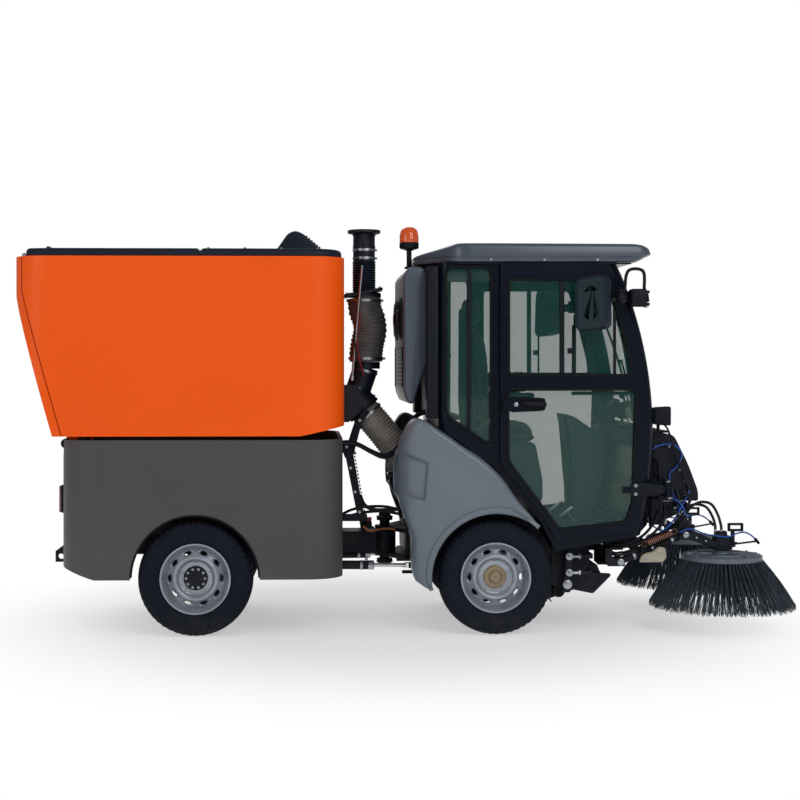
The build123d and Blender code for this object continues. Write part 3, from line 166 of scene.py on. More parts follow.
def frames_along(path):
    """Tangent, normal and binormal at each point of a path. The normal is carried on from point to point
    and only loses what lies along the new tangent, so the frame does not twist."""
    tangent = np.gradient(path, axis=0)
    tangent /= np.linalg.norm(tangent, axis=1)[:, None]
    normal = np.zeros_like(path)
    normal[0] = basis(tangent[0], up=(0.1, 1, 0.2))[0]
    for i in range(1, len(path)):
        carried = normal[i - 1] - tangent[i] * (normal[i - 1] @ tangent[i])
        normal[i] = carried / np.linalg.norm(carried)
    return tangent, normal, np.cross(tangent, normal)


def tube(path, radius, sides=12, wave=None, loop=False):
    """Circle carried along a path: the path's point plus radius times (cos a normal + sin a binormal). wave
    gives what is added to the radius from the length along the path and the angle, as the ribs of a hose
    do. A loop's last ring joins its first."""
    path = np.array(path, float)
    _, normal, binormal = frames_along(path)
    angle = TURN * np.arange(sides) / sides
    radius = np.broadcast_to(np.array(radius, float), len(path))[:, None] + np.zeros(sides)
    if wave is not None:
        along = np.concatenate([[0], np.cumsum(np.linalg.norm(np.diff(path, axis=0), axis=1))])
        radius = radius + wave(along[:, None], angle[None])
    ring = np.cos(angle)[:, None] * normal[:, None] + np.sin(angle)[:, None] * binormal[:, None]
    points = path[:, None] + radius[..., None] * ring
    return grid(points, wrap_rows=True, wrap_cols=True) if loop else closed(points)


def hose(points, radius, sides=12):
    """Plain hose, wire or bent rod along a spline through a few points."""
    return tube(smooth_path(points), radius, sides)


def bar(start, end, radius, sides=14, lip=0.25):
    """Round bar between two points, its ends rounded off by a share of its radius."""
    start, end = np.array(start, float), np.array(end, float)
    length = np.linalg.norm(end - start)
    cut = radius * lip
    profile = [(radius - cut, 0), (radius, cut), (radius, length - cut), (radius - cut, length)]
    return lathe(profile, start, end - start, sides)


def rounded(points, radius, steps=5):
    """Closed outline whose corners are quadratic curves: (1-t)^2 A + 2t(1-t) B + t^2 C, with B the corner
    and A and C a radius away on its two sides, or 0.45 of a shorter side. A radius may be given for each
    corner."""
    corner = np.array(points, float)
    to_last = np.roll(corner, 1, axis=0) - corner
    to_next = np.roll(corner, -1, axis=0) - corner
    last, following = (np.linalg.norm(v, axis=1)[:, None] for v in (to_last, to_next))
    cut = np.minimum(np.broadcast_to(np.array(radius, float), len(corner))[:, None], 0.45 * np.minimum(last,
            following))
    a, c = corner + to_last / last * cut, corner + to_next / following * cut
    t = np.linspace(0, 1, steps)[None, :, None]
    curve = (1 - t) ** 2 * a[:, None] + 2 * t * (1 - t) * corner[:, None] + t**2 * c[:, None]
    return curve.reshape(-1, 2)


PLANES = {"top": (0, 1, 2), "side": (0, 2, 1), "front": (1, 2, 0)}  # the outline's two axes, then the lift


def stack(outline, levels, plane="top"):
    """Rings of one closed outline. Each level is an inset and a height: the outline moves in along the mean
    of its two sides' normals by the inset and is lifted to the height. Flat faces close both ends."""
    outline = np.array(outline, float)
    edge = np.roll(outline, -1, axis=0) - outline
    edge /= np.linalg.norm(edge, axis=1)[:, None]
    inward = np.stack([-edge[:, 1], edge[:, 0]], axis=-1)
    inward = inward + np.roll(inward, 1, axis=0)
    inward /= np.linalg.norm(inward, axis=1)[:, None]
    x, y = outline.T
    area = np.sum(x * np.roll(y, -1) - y * np.roll(x, -1))
    inset, height = np.array(levels, float).T
    flat = outline + np.sign(area) * inward * inset[:, None, None]
    points = np.zeros((len(levels), len(outline), 3))
    first, second, lift = PLANES[plane]
    points[..., first] = flat[..., 0]
    points[..., second] = flat[..., 1]
    points[..., lift] = height[:, None]
    return closed(points)


def plate(outline, low, high, plane="side", edge=0.002):
    """Flat plate of one outline between two heights, its edges cut back a little."""
    low, high = min(low, high), max(low, high)
    edge = min(edge, 0.4 * (high - low))
    return stack(outline, [(edge, low), (0, low + edge), (0, high - edge), (edge, high)], plane)


def soft_box(low, high, radius, steps=3):
    """Box with round edges and corners: a point is the inner box's corner in its octant plus the radius
    times the direction of a sphere's point there. The sphere's rings and meridians are doubled where
    octants meet."""
    low, high = np.minimum(low, high), np.maximum(low, high)
    radius = min(radius, 0.49 * (high - low).min())
    quarter = np.linspace(0, math.pi / 2, steps + 1)
    around = np.concatenate([quarter + k * math.pi / 2 for k in range(4)])
    across = np.repeat([1, -1, -1, 1], steps + 1)
    along = np.repeat([1, 1, -1, -1], steps + 1)
    up = np.concatenate([quarter - math.pi / 2, quarter])
    rise = np.repeat([-1, 1], steps + 1)
    direction = np.stack(
        [
            np.cos(up)[:, None] * np.cos(around),
            np.cos(up)[:, None] * np.sin(around),
            np.repeat(np.sin(up)[:, None], len(around), axis=1),
        ],
        axis=-1,
    )
    octant = np.stack([across + 0 * rise[:, None], along + 0 * rise[:, None], rise[:, None] + 0 * across],
                      axis=-1)
    middle, half = (low + high) / 2, (high - low) / 2 - radius
    return closed(middle + octant * half + radius * direction)


def mirror_y(points, side):
    """Route with its y turned to a side of the machine."""
    return np.array(points, float) * (1, side, 1)


def hex_bolt(size):
    """Hexagon head on a round washer, its Z out of the surface: two lathes, the head with six sides."""
    washer = lathe([(0, 0), (size * 1.15, 0), (size * 1.15, size * 0.2), (0, size * 0.2)], turns=14)
    head = lathe([(size * 0.9, size * 0.2), (size * 0.9, size * 0.75), (size * 0.7, size * 0.95)], turns=6)
    return join(washer, head)


def bolts(places, axis, size=0.007):
    """Bolt heads at several places, all pointing along one axis."""
    return join(*[laid(hex_bolt(size), place, axis) for place in places])


def helix(start, end, radius, turns, wire, sides=8, per_turn=14):
    """Wire wound about the line between two points: the point on the line plus radius times (cos a, sin a)
    in the plane across it, with a growing by a full circle each turn."""
    start, end = np.array(start, float), np.array(end, float)
    t = np.linspace(0, 1, turns * per_turn + 1)
    first, second, _ = basis(end - start)
    angle = TURN * turns * t[:, None]
    path = start + (end - start) * t[:, None] + radius * (np.cos(angle) * first + np.sin(angle) * second)
    return tube(path, wire, sides)


def piece(name, shape, material, body, replaced=(), slot=None, hard=35, solid=0.0):
    """Puts a shape, or a list of shapes, into a mesh: doubled points are merged, faces turned outwards and
    edges sharper than hard degrees kept. It rides on a body, and stands for the CAD nodes that it replaces.
    solid is a sheet's wall."""
    verts, faces = join(*shape) if isinstance(shape, list) else shape
    mesh = bpy.data.meshes.new(name)
    mesh.from_pydata(verts.tolist(), [], [row for part in faces for row in part.tolist()])
    work = bmesh.new()
    work.from_mesh(mesh)
    bmesh.ops.remove_doubles(work, verts=work.verts, dist=1e-5)
    bmesh.ops.recalc_face_normals(work, faces=work.faces)
    work.to_mesh(mesh)
    work.free()
    mesh.polygons.foreach_set("use_smooth", [True] * len(mesh.polygons))
    mesh.set_sharp_from_angle(angle=math.radians(hard))
    mesh.materials.append(material)
    made = bpy.data.objects.new(name, mesh)
    bpy.context.scene.collection.objects.link(made)
    if solid:
        wall = made.modifiers.new("wall", "SOLIDIFY")
        wall.thickness = solid
        wall.offset = -1
    if body:
        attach(made, body)
    slot = slot or SLOT_OF.get(material.name)
    if replaced:
        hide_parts(*replaced)
    return made


SIDED = ("door", "brush", "brush_head", "brush_arm", "brush_knuckle", "steer_barrel")


def pair(name, shape, material, body, replaced=None, **looks):
    """A piece given for the left side, and its mirror image on the right. Its own name, a sided body's and
    the replaced node's all get the side's name; a node that holds both sides goes with the right-hand
    piece."""
    made = {}
    for side_name, side in SIDES.items():
        end = f"_{side_name}"
        left = join(*shape) if isinstance(shape, list) else shape
        if replaced is None:
            gone = ()
        elif replaced + end in nodes:
            gone = (replaced + end,)
        else:
            gone = (replaced,) if side < 0 else ()
        made[side_name] = piece(name + end, left if side > 0 else flipped(left), material,
                                body + end if body in SIDED else body, gone, **looks)
    return made


def bending(name, shape, material):
    """A pair of hoses, on no body, each with its transform baked into its points."""
    for side_name, made in pair(name, shape, material, None).items():
        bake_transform(made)


# ------------------------------ materials


def linear(code):
    """sRGB hex to linear light: c / 12.92 below 0.04045, else ((c + 0.055) / 1.055) ^ 2.4."""
    c = np.array([int(code[i : i + 2], 16) / 255 for i in (1, 3, 5)])
    light = np.where(c < 0.04045, c / 12.92, ((c + 0.055) / 1.055) ** 2.4)
    return (*light.tolist(), 1.0)


def add(tree, kind, inputs=None, **settings):
    """Adds one shader node. settings are its properties; inputs are its sockets' values, or the sockets
    that feed them."""
    made = tree.nodes.new("ShaderNode" + kind)
    for name, value in settings.items():
        setattr(made, name, value)
    for name, value in (inputs or {}).items():
        socket = made.inputs[name]
        if isinstance(value, bpy.types.NodeSocket):
            tree.links.new(value, socket)
        else:
            socket.default_value = value
    return made


def blank(name, **levels):
    """A new material with a shader, its output and Object coordinates: the material, tree, shader and
    coordinates. levels are the shader's even values, each under its socket's name with _ for a space."""
    made = bpy.data.materials.new(name)
    made.use_nodes = True
    tree = made.node_tree
    tree.nodes.clear()
    shader = add(tree, "BsdfPrincipled", {key.replace("_", " "): value for key,
            value in levels.items()})
    add(tree, "OutputMaterial", {"Surface": shader.outputs["BSDF"]})
    return made, tree, shader, add(tree, "TexCoord").outputs["Object"]


def ramp(tree, factor, low, high, start, end):
    """A value that runs from low to high while the factor runs from start to end."""
    made = add(
        tree,
        "MapRange",
        {"Value": factor, "From Min": start, "From Max": end, "To Min": low, "To Max": high},
    )
    return made.outputs["Result"]


def noise(tree, where, size, detail=3.0, rough=0.55):
    """Noise whose blotches are about one size across, in metres."""
    made = add(
        tree,
        "TexNoise",
        {"Vector": where, "Scale": 0.5 / size, "Detail": detail, "Roughness": rough},
    )
    return made.outputs["Fac"]


def mixed(tree, factor, first, second):
    """Two colours mixed by a factor."""
    made = add(tree, "Mix", data_type="RGBA")
    for index, value in ((0, factor), (6, first), (7, second)):
        if isinstance(value, bpy.types.NodeSocket):
            tree.links.new(value, made.inputs[index])
        else:
            made.inputs[index].default_value = value
    return made.outputs[2]


def bumped(tree, shader, height, depth, distance_mm):
    """Feeds the shader's normal from a height; depth is a share, the distance is the height's full step."""
    made = add(tree, "Bump", {"Height": height, "Strength": depth, "Distance": distance_mm * MM})
    tree.links.new(made.outputs["Normal"], shader.inputs["Normal"])
    return made


DUST = linear("#8d8577")


def coating(name, colour, shade, patch=0.25, grain=0.004, rough=(0.3, 0.4), relief=0.05, metallic=0.0,
            coat=0.0, dusty=0.12, dust_top=0.75, relief_mm=0.4, shine=0.5):
    """Paint, enamel or moulded skin. Its colour drifts to a shade in soft patches, its roughness goes with
    them, a fine grain raises it, and road dust thins out upwards to dust_top. Sizes in metres, the relief's
    in mm; shine is the share of a mirror's reflection that the skin keeps."""
    made, tree, shader, where = blank(name, Metallic=metallic, Specular_IOR_Level=shine, Coat_Weight=coat,
                                      Coat_Roughness=0.12)
    drift = noise(tree, where, patch, detail=5)
    fine = noise(tree, where, grain, detail=2)
    height = add(tree, "SeparateXYZ", {"Vector": where}).outputs["Z"]
    low = ramp(tree, height, dusty, 0.0, 0.05, dust_top)
    speckle = ramp(tree, noise(tree, where, 0.05, detail=6, rough=0.7), 0.0, 1.0, 0.42, 0.66)
    dust = add(tree, "Math", {0: low, 1: speckle}, operation="MULTIPLY").outputs[0]
    paint = mixed(tree, ramp(tree, drift, 0.0, 1.0, 0.3, 0.7), linear(colour), linear(shade))
    tree.links.new(mixed(tree, dust, paint, DUST), shader.inputs["Base Color"])
    gloss = ramp(tree, drift, rough[0], rough[1], 0.3, 0.7)
    dulled = add(tree, "Math", {0: gloss, 1: dust}, operation="ADD", use_clamp=True)
    tree.links.new(dulled.outputs[0], shader.inputs["Roughness"])
    bumped(tree, shader, fine, relief, relief_mm)
    return made


def corrugated(name, colour, shade):
    """Reinforced duct hose: a matt skin whose colour darkens in soft patches, dusty low down."""
    return coating(name, colour, shade, patch=0.05, grain=0.002, rough=(0.5, 0.65), relief=0.25, dusty=0.2,
                   dust_top=1.6)


def tyre_rubber():
    """Carbon-black tyre rubber, moulded: near black, dull, with a fine tooth and grey dust low down, which
    thins out with the height above the floor."""
    made, tree, shader, where = blank("moulded_tyre_rubber", Specular_IOR_Level=0.18)
    part = add(tree, "SeparateXYZ", {"Vector": where})
    speckle = noise(tree, where, 0.03, detail=7, rough=0.7)
    low = ramp(tree, part.outputs["Z"], 0.35, 0.05, 0.0, 0.12)
    dust = add(tree, "Math", {0: low, 1: ramp(tree, speckle, 0.0, 1.0, 0.4, 0.7)},
               operation="MULTIPLY")
    base = mixed(tree, noise(tree, where, 0.12), linear("#080e1b"), linear("#0f1726"))
    tree.links.new(mixed(tree, dust.outputs[0], base, linear("#5d5850")), shader.inputs["Base Color"])
    tree.links.new(ramp(tree, speckle, 0.62, 0.82, 0.3, 0.7), shader.inputs["Roughness"])
    bumped(tree, shader, noise(tree, where, 0.0025, detail=3), 0.25, 0.3)
    return made


def tinted_glass():
    """Toughened safety glass, 6 mm, tinted green-grey: clear, smooth, and a little dulled by dust in soft
    patches. What it lets through is set by alpha, so that light reaches the cab."""
    made, tree, shader, where = blank("tinted_safety_glass", Alpha=0.31, IOR=1.52, Coat_Weight=0.15,
                                      Coat_Roughness=0.01)
    patch = noise(tree, where, 0.3, detail=4)
    tree.links.new(mixed(tree, patch, linear("#23564e"), linear("#1f4e47")), shader.inputs["Base Color"])
    tree.links.new(ramp(tree, patch, 0.02, 0.06, 0.35, 0.7), shader.inputs["Roughness"])
    return made


def lens(name, colour, deep, glow=0.0):
    """Moulded clear acrylic over a reflector: coloured, glossy, with pressed ribs 6 mm apart. The valleys
    between the ribs take the darker colour, which is painted shade."""
    made, tree, shader, where = blank(name, IOR=1.49, Coat_Weight=0.8, Emission_Color=linear(colour),
                                      Emission_Strength=glow)
    ribs = add(tree, "TexWave", {"Vector": where, "Scale": 26.0, "Distortion": 0.0},
               bands_direction="Z")
    # painted shade: the rib valleys run to the darker colour, by the same waves as the bump
    tree.links.new(mixed(tree, ribs.outputs["Fac"], linear(deep), linear(colour)),
                   shader.inputs["Base Color"])
    tree.links.new(ramp(tree, ribs.outputs["Fac"], 0.08, 0.2, 0.0, 1.0), shader.inputs["Roughness"])
    bumped(tree, shader, ribs.outputs["Fac"], 0.35, 1.0)
    return made


def woven_cloth(name, colour, shade, thread=0.003):
    """Plain-woven polyester seat cloth: two sets of threads 3 mm apart, drawn coarser than the real 0.8 mm
    so that they show, crossing as the product of two waves, with a soft sheen."""
    made, tree, shader, where = blank(name, Sheen_Weight=0.3)
    size = TURN / thread / 20
    warp = add(tree, "TexWave", {"Vector": where, "Scale": size, "Distortion": 0.6},
               bands_direction="Y")
    weft = add(tree, "TexWave", {"Vector": where, "Scale": size, "Distortion": 0.6},
               bands_direction="Z")
    cross = add(tree, "Math", {0: warp.outputs["Fac"], 1: weft.outputs["Fac"]},
                operation="MULTIPLY")
    patch = noise(tree, where, 0.08, detail=4)
    base = mixed(tree, patch, linear(colour), linear(shade))
    tree.links.new(mixed(tree, cross.outputs[0], base, linear("#3d434d")), shader.inputs["Base Color"])
    tree.links.new(ramp(tree, patch, 0.8, 0.95, 0.3, 0.7), shader.inputs["Roughness"])
    bumped(tree, shader, cross.outputs[0], 0.5, 0.6)
    return made


def bristle_plastic():
    """Extruded polypropylene bristle: dark blue-grey, dull, its colour going from strand to strand by a
    noise finer than the gap between them, and paler with scuffed dust towards the tips."""
    made, tree, shader, where = blank("polypropylene_bristle")
    height = add(tree, "SeparateXYZ", {"Vector": where}).outputs["Z"]
    strand = noise(tree, where, 0.006, detail=2)
    base = mixed(tree, ramp(tree, strand, 0.0, 1.0, 0.35, 0.65), linear("#131b27"), linear("#33414f"))
    tree.links.new(mixed(tree, ramp(tree, height, 0.45, 0.0, 0.1, 0.3), base, linear("#5b6670")),
                   shader.inputs["Base Color"])
    tree.links.new(ramp(tree, strand, 0.45, 0.7, 0.3, 0.7), shader.inputs["Roughness"])
    bumped(tree, shader, strand, 0.2, 0.3)
    return made


# Two-pack polyurethane on sheet steel: a clean gloss with a soft orange-peel skin.
ORANGE = coating("polyurethane_orange", "#fa5d0a", "#f25705", patch=0.5, grain=0.006, rough=(0.34, 0.42),
                 relief=0.1, coat=0.0, dusty=0.03, dust_top=1.3, shine=0.22)
# Polyester powder coat on pressed steel: an even satin with a fine tooth.
PANEL = coating("powder_coat_grey", "#4e4e4e", "#464646", patch=0.6, grain=0.003, rough=(0.42, 0.52),
                relief=0.3, shine=0.3, dusty=0.08, dust_top=0.8)
# Gel-coated glass fibre: slate blue-grey with a soft gloss.
ROOF = coating("gelcoat_slate", "#454e5b", "#3f4855", patch=0.4, grain=0.01, rough=(0.28, 0.4), relief=0.08,
               coat=0.15, dusty=0.0)
FENDER = coating("gelcoat_light_slate", "#68737f", "#5e6974", patch=0.5, grain=0.01, rough=(0.3, 0.42),
                 relief=0.08, coat=0.15, dusty=0.15, dust_top=0.7)
AIRCON = coating("moulded_slate_abs", "#4a5563", "#424d5b", patch=0.3, grain=0.002, rough=(0.4, 0.5),
                 relief=0.35)
# Moulded polyethylene covers: blue-black, dull, with a leathery grain.
COVER = coating("moulded_black_polyethylene", "#131d31", "#0f1728", patch=0.3, grain=0.0025,
                rough=(0.5, 0.62), relief=0.4, shine=0.25, dusty=0.03, dust_top=2.4)
PIPE = coating("painted_black_duct", "#0c1322", "#121a2b", patch=0.1, grain=0.003, rough=(0.4, 0.55),
               relief=0.25, shine=0.3, dusty=0.04, dust_top=2.4)
# Gloss black enamel of the cab's welded frame and doors.
CAB = coating("gloss_black_enamel", "#040a19", "#060e1f", patch=0.4, grain=0.008, rough=(0.22, 0.32),
              relief=0.06, coat=0.03, shine=0.12, dusty=0.01, dust_top=1.2)
# Satin black chassis paint, thick and a little uneven.
CHASSIS = coating("satin_black_chassis_paint", "#0a0e18", "#111724", patch=0.12, grain=0.004,
                  rough=(0.45, 0.6), relief=0.4, shine=0.2, dusty=0.08, dust_top=0.9)
TRIM = coating("moulded_black_abs", "#080c15", "#0e131e", patch=0.1, grain=0.0015, rough=(0.45, 0.6),
               relief=0.5, shine=0.2, dusty=0.03)
CABIN = coating("moulded_grey_cabin_abs", "#3d4a52", "#333f47", patch=0.15, grain=0.0015, rough=(0.5, 0.65),
                relief=0.4, shine=0.3, dusty=0.0)
RUBBER = coating("extruded_black_rubber", "#070a11", "#0d111a", patch=0.08, grain=0.002, rough=(0.6, 0.75),
                 relief=0.4, shine=0.2, dusty=0.04)
# Bright zinc on bolts, rods and clamps; the rods are hard chrome.
ZINC = coating("bright_zinc", "#b9bec4", "#9ea4ab", patch=0.03, grain=0.002, rough=(0.25, 0.4), relief=0.2,
               metallic=1.0)
CHROME = coating("hard_chrome", "#d5d8dc", "#c6cace", patch=0.05, grain=0.002, rough=(0.06, 0.14),
                 relief=0.02, metallic=1.0, dusty=0.0)
COPPER = coating("copper_coloured_spring_steel", "#b98a78", "#8d6455", patch=0.02, grain=0.001,
                 rough=(0.3, 0.45), relief=0.2, metallic=0.8)
# Silver wheel enamel with aluminium flake.
WHEEL = coating("silver_wheel_enamel", "#a6adb7", "#939ba6", patch=0.06, grain=0.0015, rough=(0.28, 0.4),
                relief=0.2, metallic=0.55, dusty=0.25, dust_top=0.45)
BRONZE = coating("bronze_hub_paint", "#9c8b72", "#86755d", patch=0.03, grain=0.002, rough=(0.35, 0.5),
                 relief=0.3, metallic=0.5)
PLATE = coating("galvanised_brush_plate", "#6f7a86", "#596470", patch=0.04, grain=0.004, rough=(0.4, 0.55),
                relief=0.4, metallic=0.4, dusty=0.2)
CREAM = coating("cream_hydraulic_block", "#b3ad9a", "#9b9583", patch=0.03, grain=0.002, rough=(0.45, 0.6),
                relief=0.3)
DUCT_HOSE = corrugated("grey_duct_hose", "#626364", "#4a4b4c")
PALE_HOSE = corrugated("pale_duct_hose", "#a7a69f", "#7d7c77")
HYDRAULIC = coating("hydraulic_hose_rubber", "#0b0f18", "#131824", patch=0.03, grain=0.0015,
                    rough=(0.5, 0.65), relief=0.5, shine=0.3)
WATER = coating("blue_nylon_water_line", "#1d55b0", "#16418c", patch=0.03, grain=0.001, rough=(0.25, 0.4),
                relief=0.1)
RED_CABLE = coating("red_cable_sheath", "#93221f", "#74191a", patch=0.02, grain=0.001, rough=(0.4, 0.5),
                    relief=0.2)
RUST_CABLE = coating("orange_cable_sheath", "#a8622f", "#8a4d22", patch=0.02, grain=0.001, rough=(0.4, 0.5),
                     relief=0.2)
MIRROR_GLASS = coating("silvered_mirror_glass", "#5f747b", "#566a71", patch=0.3, grain=0.01,
                       rough=(0.02, 0.05), relief=0.01, metallic=1.0, dusty=0.0)
TYRE = tyre_rubber()
GLASS = tinted_glass()
BRISTLE = bristle_plastic()
CLOTH = woven_cloth("woven_seat_cloth", "#222a32", "#2c353e")
# The second colour of each lens is painted shade for the valleys between its ribs.
AMBER = lens("amber_acrylic", "#e8641c", "#b0380c", glow=0.08)
RED_LENS = lens("red_acrylic", "#8c1830", "#4f0c1e")
CLEAR_LENS = lens("clear_acrylic_on_reflector", "#dfe4e8", "#9aa2aa")

CAD_FINISH = {
    "hopper_shell": ORANGE, "tailgate": ORANGE, "side_panel_right": PANEL, "side_panel_left": PANEL,
    "end_panels": PANEL, "front_cover": COVER, "rear_lid": COVER, "intake_duct": PIPE, "suction_duct": PIPE,
    "cab_frame": CAB, "door_right": CAB, "door_left": CAB, "cab_glass": GLASS, "door_glass_right": GLASS,
    "door_glass_left": GLASS, "rear_frame": CHASSIS, "front_frame": CHASSIS, "rear_axle": CHASSIS,
    "front_axle": CHASSIS, "hose_collar": CHASSIS, "engine_block": CHASSIS, "steer_barrel_right": CHASSIS,
    "steer_barrel_left": CHASSIS, "steer_rod_right": CHROME, "steer_rod_left": CHROME, "front_box": TRIM,
    "brush_knuckle_right": CHASSIS, "brush_knuckle_left": CHASSIS, "brush_arm_right": CHASSIS,
    "brush_arm_left": CHASSIS, "brush_head_right": CHASSIS, "brush_head_left": CHASSIS,
    "suction_nozzle": CHASSIS, "brush_disc_right": PLATE, "brush_disc_left": PLATE,
}
for node_name, finish in CAD_FINISH.items():
    nodes[node_name].data.materials.clear()
    nodes[node_name].data.materials.append(finish)

# The CAD's material slots, and the finishes that stand in each.
SLOTS = {"bright_steel": (ZINC, COPPER, CREAM, MIRROR_GLASS), "chassis_black": (CHASSIS, BRONZE),
         "lamp_black": (TRIM, CABIN, CLEAR_LENS), "hose_rubber": (RUBBER, HYDRAULIC, WATER, RUST_CABLE,
        DUCT_HOSE, PALE_HOSE), "dark_cover": (COVER, PIPE), "roof_grey": (ROOF, AIRCON),
         "fender_grey": (FENDER,), "orange_paint": (ORANGE,), "rim_steel": (WHEEL,), "tyre_rubber": (TYRE,),
         "brush_plate": (PLATE,), "bristle": (BRISTLE,), "seat_cloth": (CLOTH,), "amber_lens": (AMBER,),
         "red_lens": (RED_LENS, RED_CABLE),}
SLOT_OF = {finish.name: slot for slot, finishes in SLOTS.items() for finish in finishes}

# ------------------------------ floor, light and camera
FLOOR_HALF = 60.0


def floor_paint():
    """Matt pale paint that keeps the machine's shadow. Past the machine it fades to the backdrop's white
    for the camera, mirrors and glass alone, by the distance from the origin."""
    made, tree, shader, where = blank("matt_pale_floor_paint", Base_Color=linear("#f4f4f4"), Roughness=0.9,
                                      Specular_IOR_Level=0.1)
    distance = add(tree, "VectorMath", {0: where}, operation="LENGTH").outputs["Value"]
    path = add(tree, "LightPath").outputs
    seen = add(tree, "Math", {0: path["Is Camera Ray"], 1: path["Is Glossy Ray"]},
               operation="ADD")
    seen = add(tree, "Math", {0: seen.outputs[0], 1: path["Is Transmission Ray"]}, operation="ADD",
               use_clamp=True)
    fade = add(tree, "MapRange", {"Value": distance, "From Min": 1.0, "From Max": 2.7,
                                            "To Min": 0.45}, interpolation_type="SMOOTHSTEP")
    share = add(tree, "Math", {0: fade.outputs["Result"], 1: seen.outputs[0]},
                operation="MULTIPLY")
    white = add(tree, "Emission", {"Color": (1, 1, 1, 1), "Strength": 1.0})
    both_ways = add(tree, "MixShader", {0: share.outputs[0]})
    tree.links.new(shader.outputs["BSDF"], both_ways.inputs[1])
    tree.links.new(white.outputs["Emission"], both_ways.inputs[2])
    out = next(n for n in tree.nodes if n.type == "OUTPUT_MATERIAL")
    tree.links.new(both_ways.outputs["Shader"], out.inputs["Surface"])
    return made


corners = np.array([(-1, -1, 0), (1, -1, 0), (1, 1, 0), (-1, 1, 0)], float) * FLOOR_HALF
floor = piece("floor", (corners, [np.array([[0, 1, 2, 3]])]), floor_paint(), None)

AMBIENT = 0.5
MIRRORED = 0.2  # what polished surfaces see of the studio
world = bpy.data.worlds.new("studio")
bpy.context.scene.world = world
world.use_nodes = True
sky = world.node_tree
sky.nodes.clear()
rays = add(sky, "LightPath").outputs
shown = add(sky, "Math", {0: rays["Is Camera Ray"], 1: rays["Is Transmission Ray"]},
            operation="ADD", use_clamp=True)
dim = add(sky, "Background", {"Color": (1, 1, 1, 1), "Strength": AMBIENT})
shine = add(sky, "Background", {"Color": (1, 1, 1, 1), "Strength": MIRRORED})
white = add(sky, "Background", {"Color": (1, 1, 1, 1), "Strength": 1.0})
lit = add(sky, "MixShader", {0: rays["Is Glossy Ray"], 1: dim.outputs[0], 2: shine.outputs[0]})
backdrop = add(sky, "MixShader", {0: shown.outputs[0], 1: lit.outputs[0], 2: white.outputs[0]})
add(sky, "OutputWorld", {"Surface": backdrop.outputs[0]})


def soft_lamp(name, place, target, size, power):
    """Square area lamp facing a point."""
    data = bpy.data.lights.new(name, "AREA")
    data.shape = "SQUARE"
    data.size = size
    data.energy = power
    lamp = bpy.data.objects.new(name, data)
    bpy.context.scene.collection.objects.link(lamp)
    lamp.location = place
    lamp.rotation_euler = basis_to_euler(np.array(place) - np.array(target))


def basis_to_euler(backwards):
    """Turn that points an object's Z along a vector, with its Y as near up as it goes."""
    return Vector(backwards).to_track_quat("Z", "Y").to_euler()


soft_lamp("key", (3.2, -6.5, 5.0), (0.2, 0, 1.0), 4.0, 190)
soft_lamp("fill", (-6.0, -5.5, 3.2), (-0.8, 0, 1.0), 3.0, 70)
soft_lamp("rear", (-1.0, 7.0, 5.0), (0, 0, 1.0), 5.0, 130)

LENS = 68.9
CAMERA = (-0.54, -8.55, 1.412)
YAW = math.radians(2.0)  # towards the nose
camera_data = bpy.data.cameras.new("camera")
camera_data.lens = LENS
camera_data.shift_x = 0.05
camera_data.shift_y = -0.044
camera = bpy.data.objects.new("camera", camera_data)
bpy.context.scene.collection.objects.link(camera)
camera.location = CAMERA
camera.rotation_euler = (math.pi / 2, 0, -YAW)
bpy.context.scene.camera = camera
bpy.context.scene.view_settings.view_transform = "Standard"

# ------------------------------ wheels
TREAD_HALF = 0.058
GROOVES = (-0.04, -0.014, 0.014, 0.04)  # across the tread, from the middle
GROOVE_HALF = 0.0035
GROOVE_DEEP = 0.007
BLOCKS = 50  # round the tread
STEPS_A_BLOCK = 6
VENTS = 10
VENT_R = 0.135
VENT_HALF = (0.0085, 0.018)  # along the radius and round the wheel
LUGS = 5
LUG_R = 0.076


def tyre_shape(radius):
    """Tyre about its axis. The section runs from bead to bead as (height along the axis, radius): a spline
    for each flank, then a crown whose radius falls with the square of the height, less a step in each
    groove. Round the shoulders every block loses a slot, two steps of six wide."""
    flank = smooth_path(
        mm([(-58, 168), (-66, 186), (-76, 210), (-82, 238), (-79, 265), (-70, 285), (-61, 294.5)]),
        steps=4,
    )
    marks = [-TREAD_HALF, -0.052, -0.047]
    sunk = [0.0, 0.0, 0.0]
    for groove in GROOVES:
        for offset, depth in ((-1.3, 0.0), (-1.0, 1.0), (1.0, 1.0), (1.3, 0.0)):
            marks.append(groove + offset * GROOVE_HALF)
            sunk.append(depth)
    marks += [0.047, 0.052, TREAD_HALF]
    sunk += [0.0, 0.0, 0.0]
    marks, sunk = np.array(marks), np.array(sunk)
    crown = radius - 0.004 * (marks / TREAD_HALF) ** 2 - GROOVE_DEEP * sunk
    height = np.concatenate([flank[:, 0], marks, -flank[::-1, 0]])
    ring = np.concatenate([flank[:, 1], crown, flank[::-1, 1]])
    angle = TURN * np.arange(BLOCKS * STEPS_A_BLOCK) / (BLOCKS * STEPS_A_BLOCK)
    step = np.arange(len(angle)) % STEPS_A_BLOCK
    slot = np.isin(step, (1, 2)).astype(float)
    shoulder = (np.abs(height) > 0.0445) & (ring > 0.272)
    far = np.roll(slot, 3)
    cut = np.where(height[:, None] > 0, slot[None], far[None]) * shoulder[:, None] * GROOVE_DEEP * 0.8
    reach = ring[:, None] - cut
    points = [reach * np.cos(angle), reach * np.sin(angle), np.repeat(height[:, None], len(angle), axis=1)]
    return grid(np.stack(points, axis=-1), wrap_rows=True, wrap_cols=True)


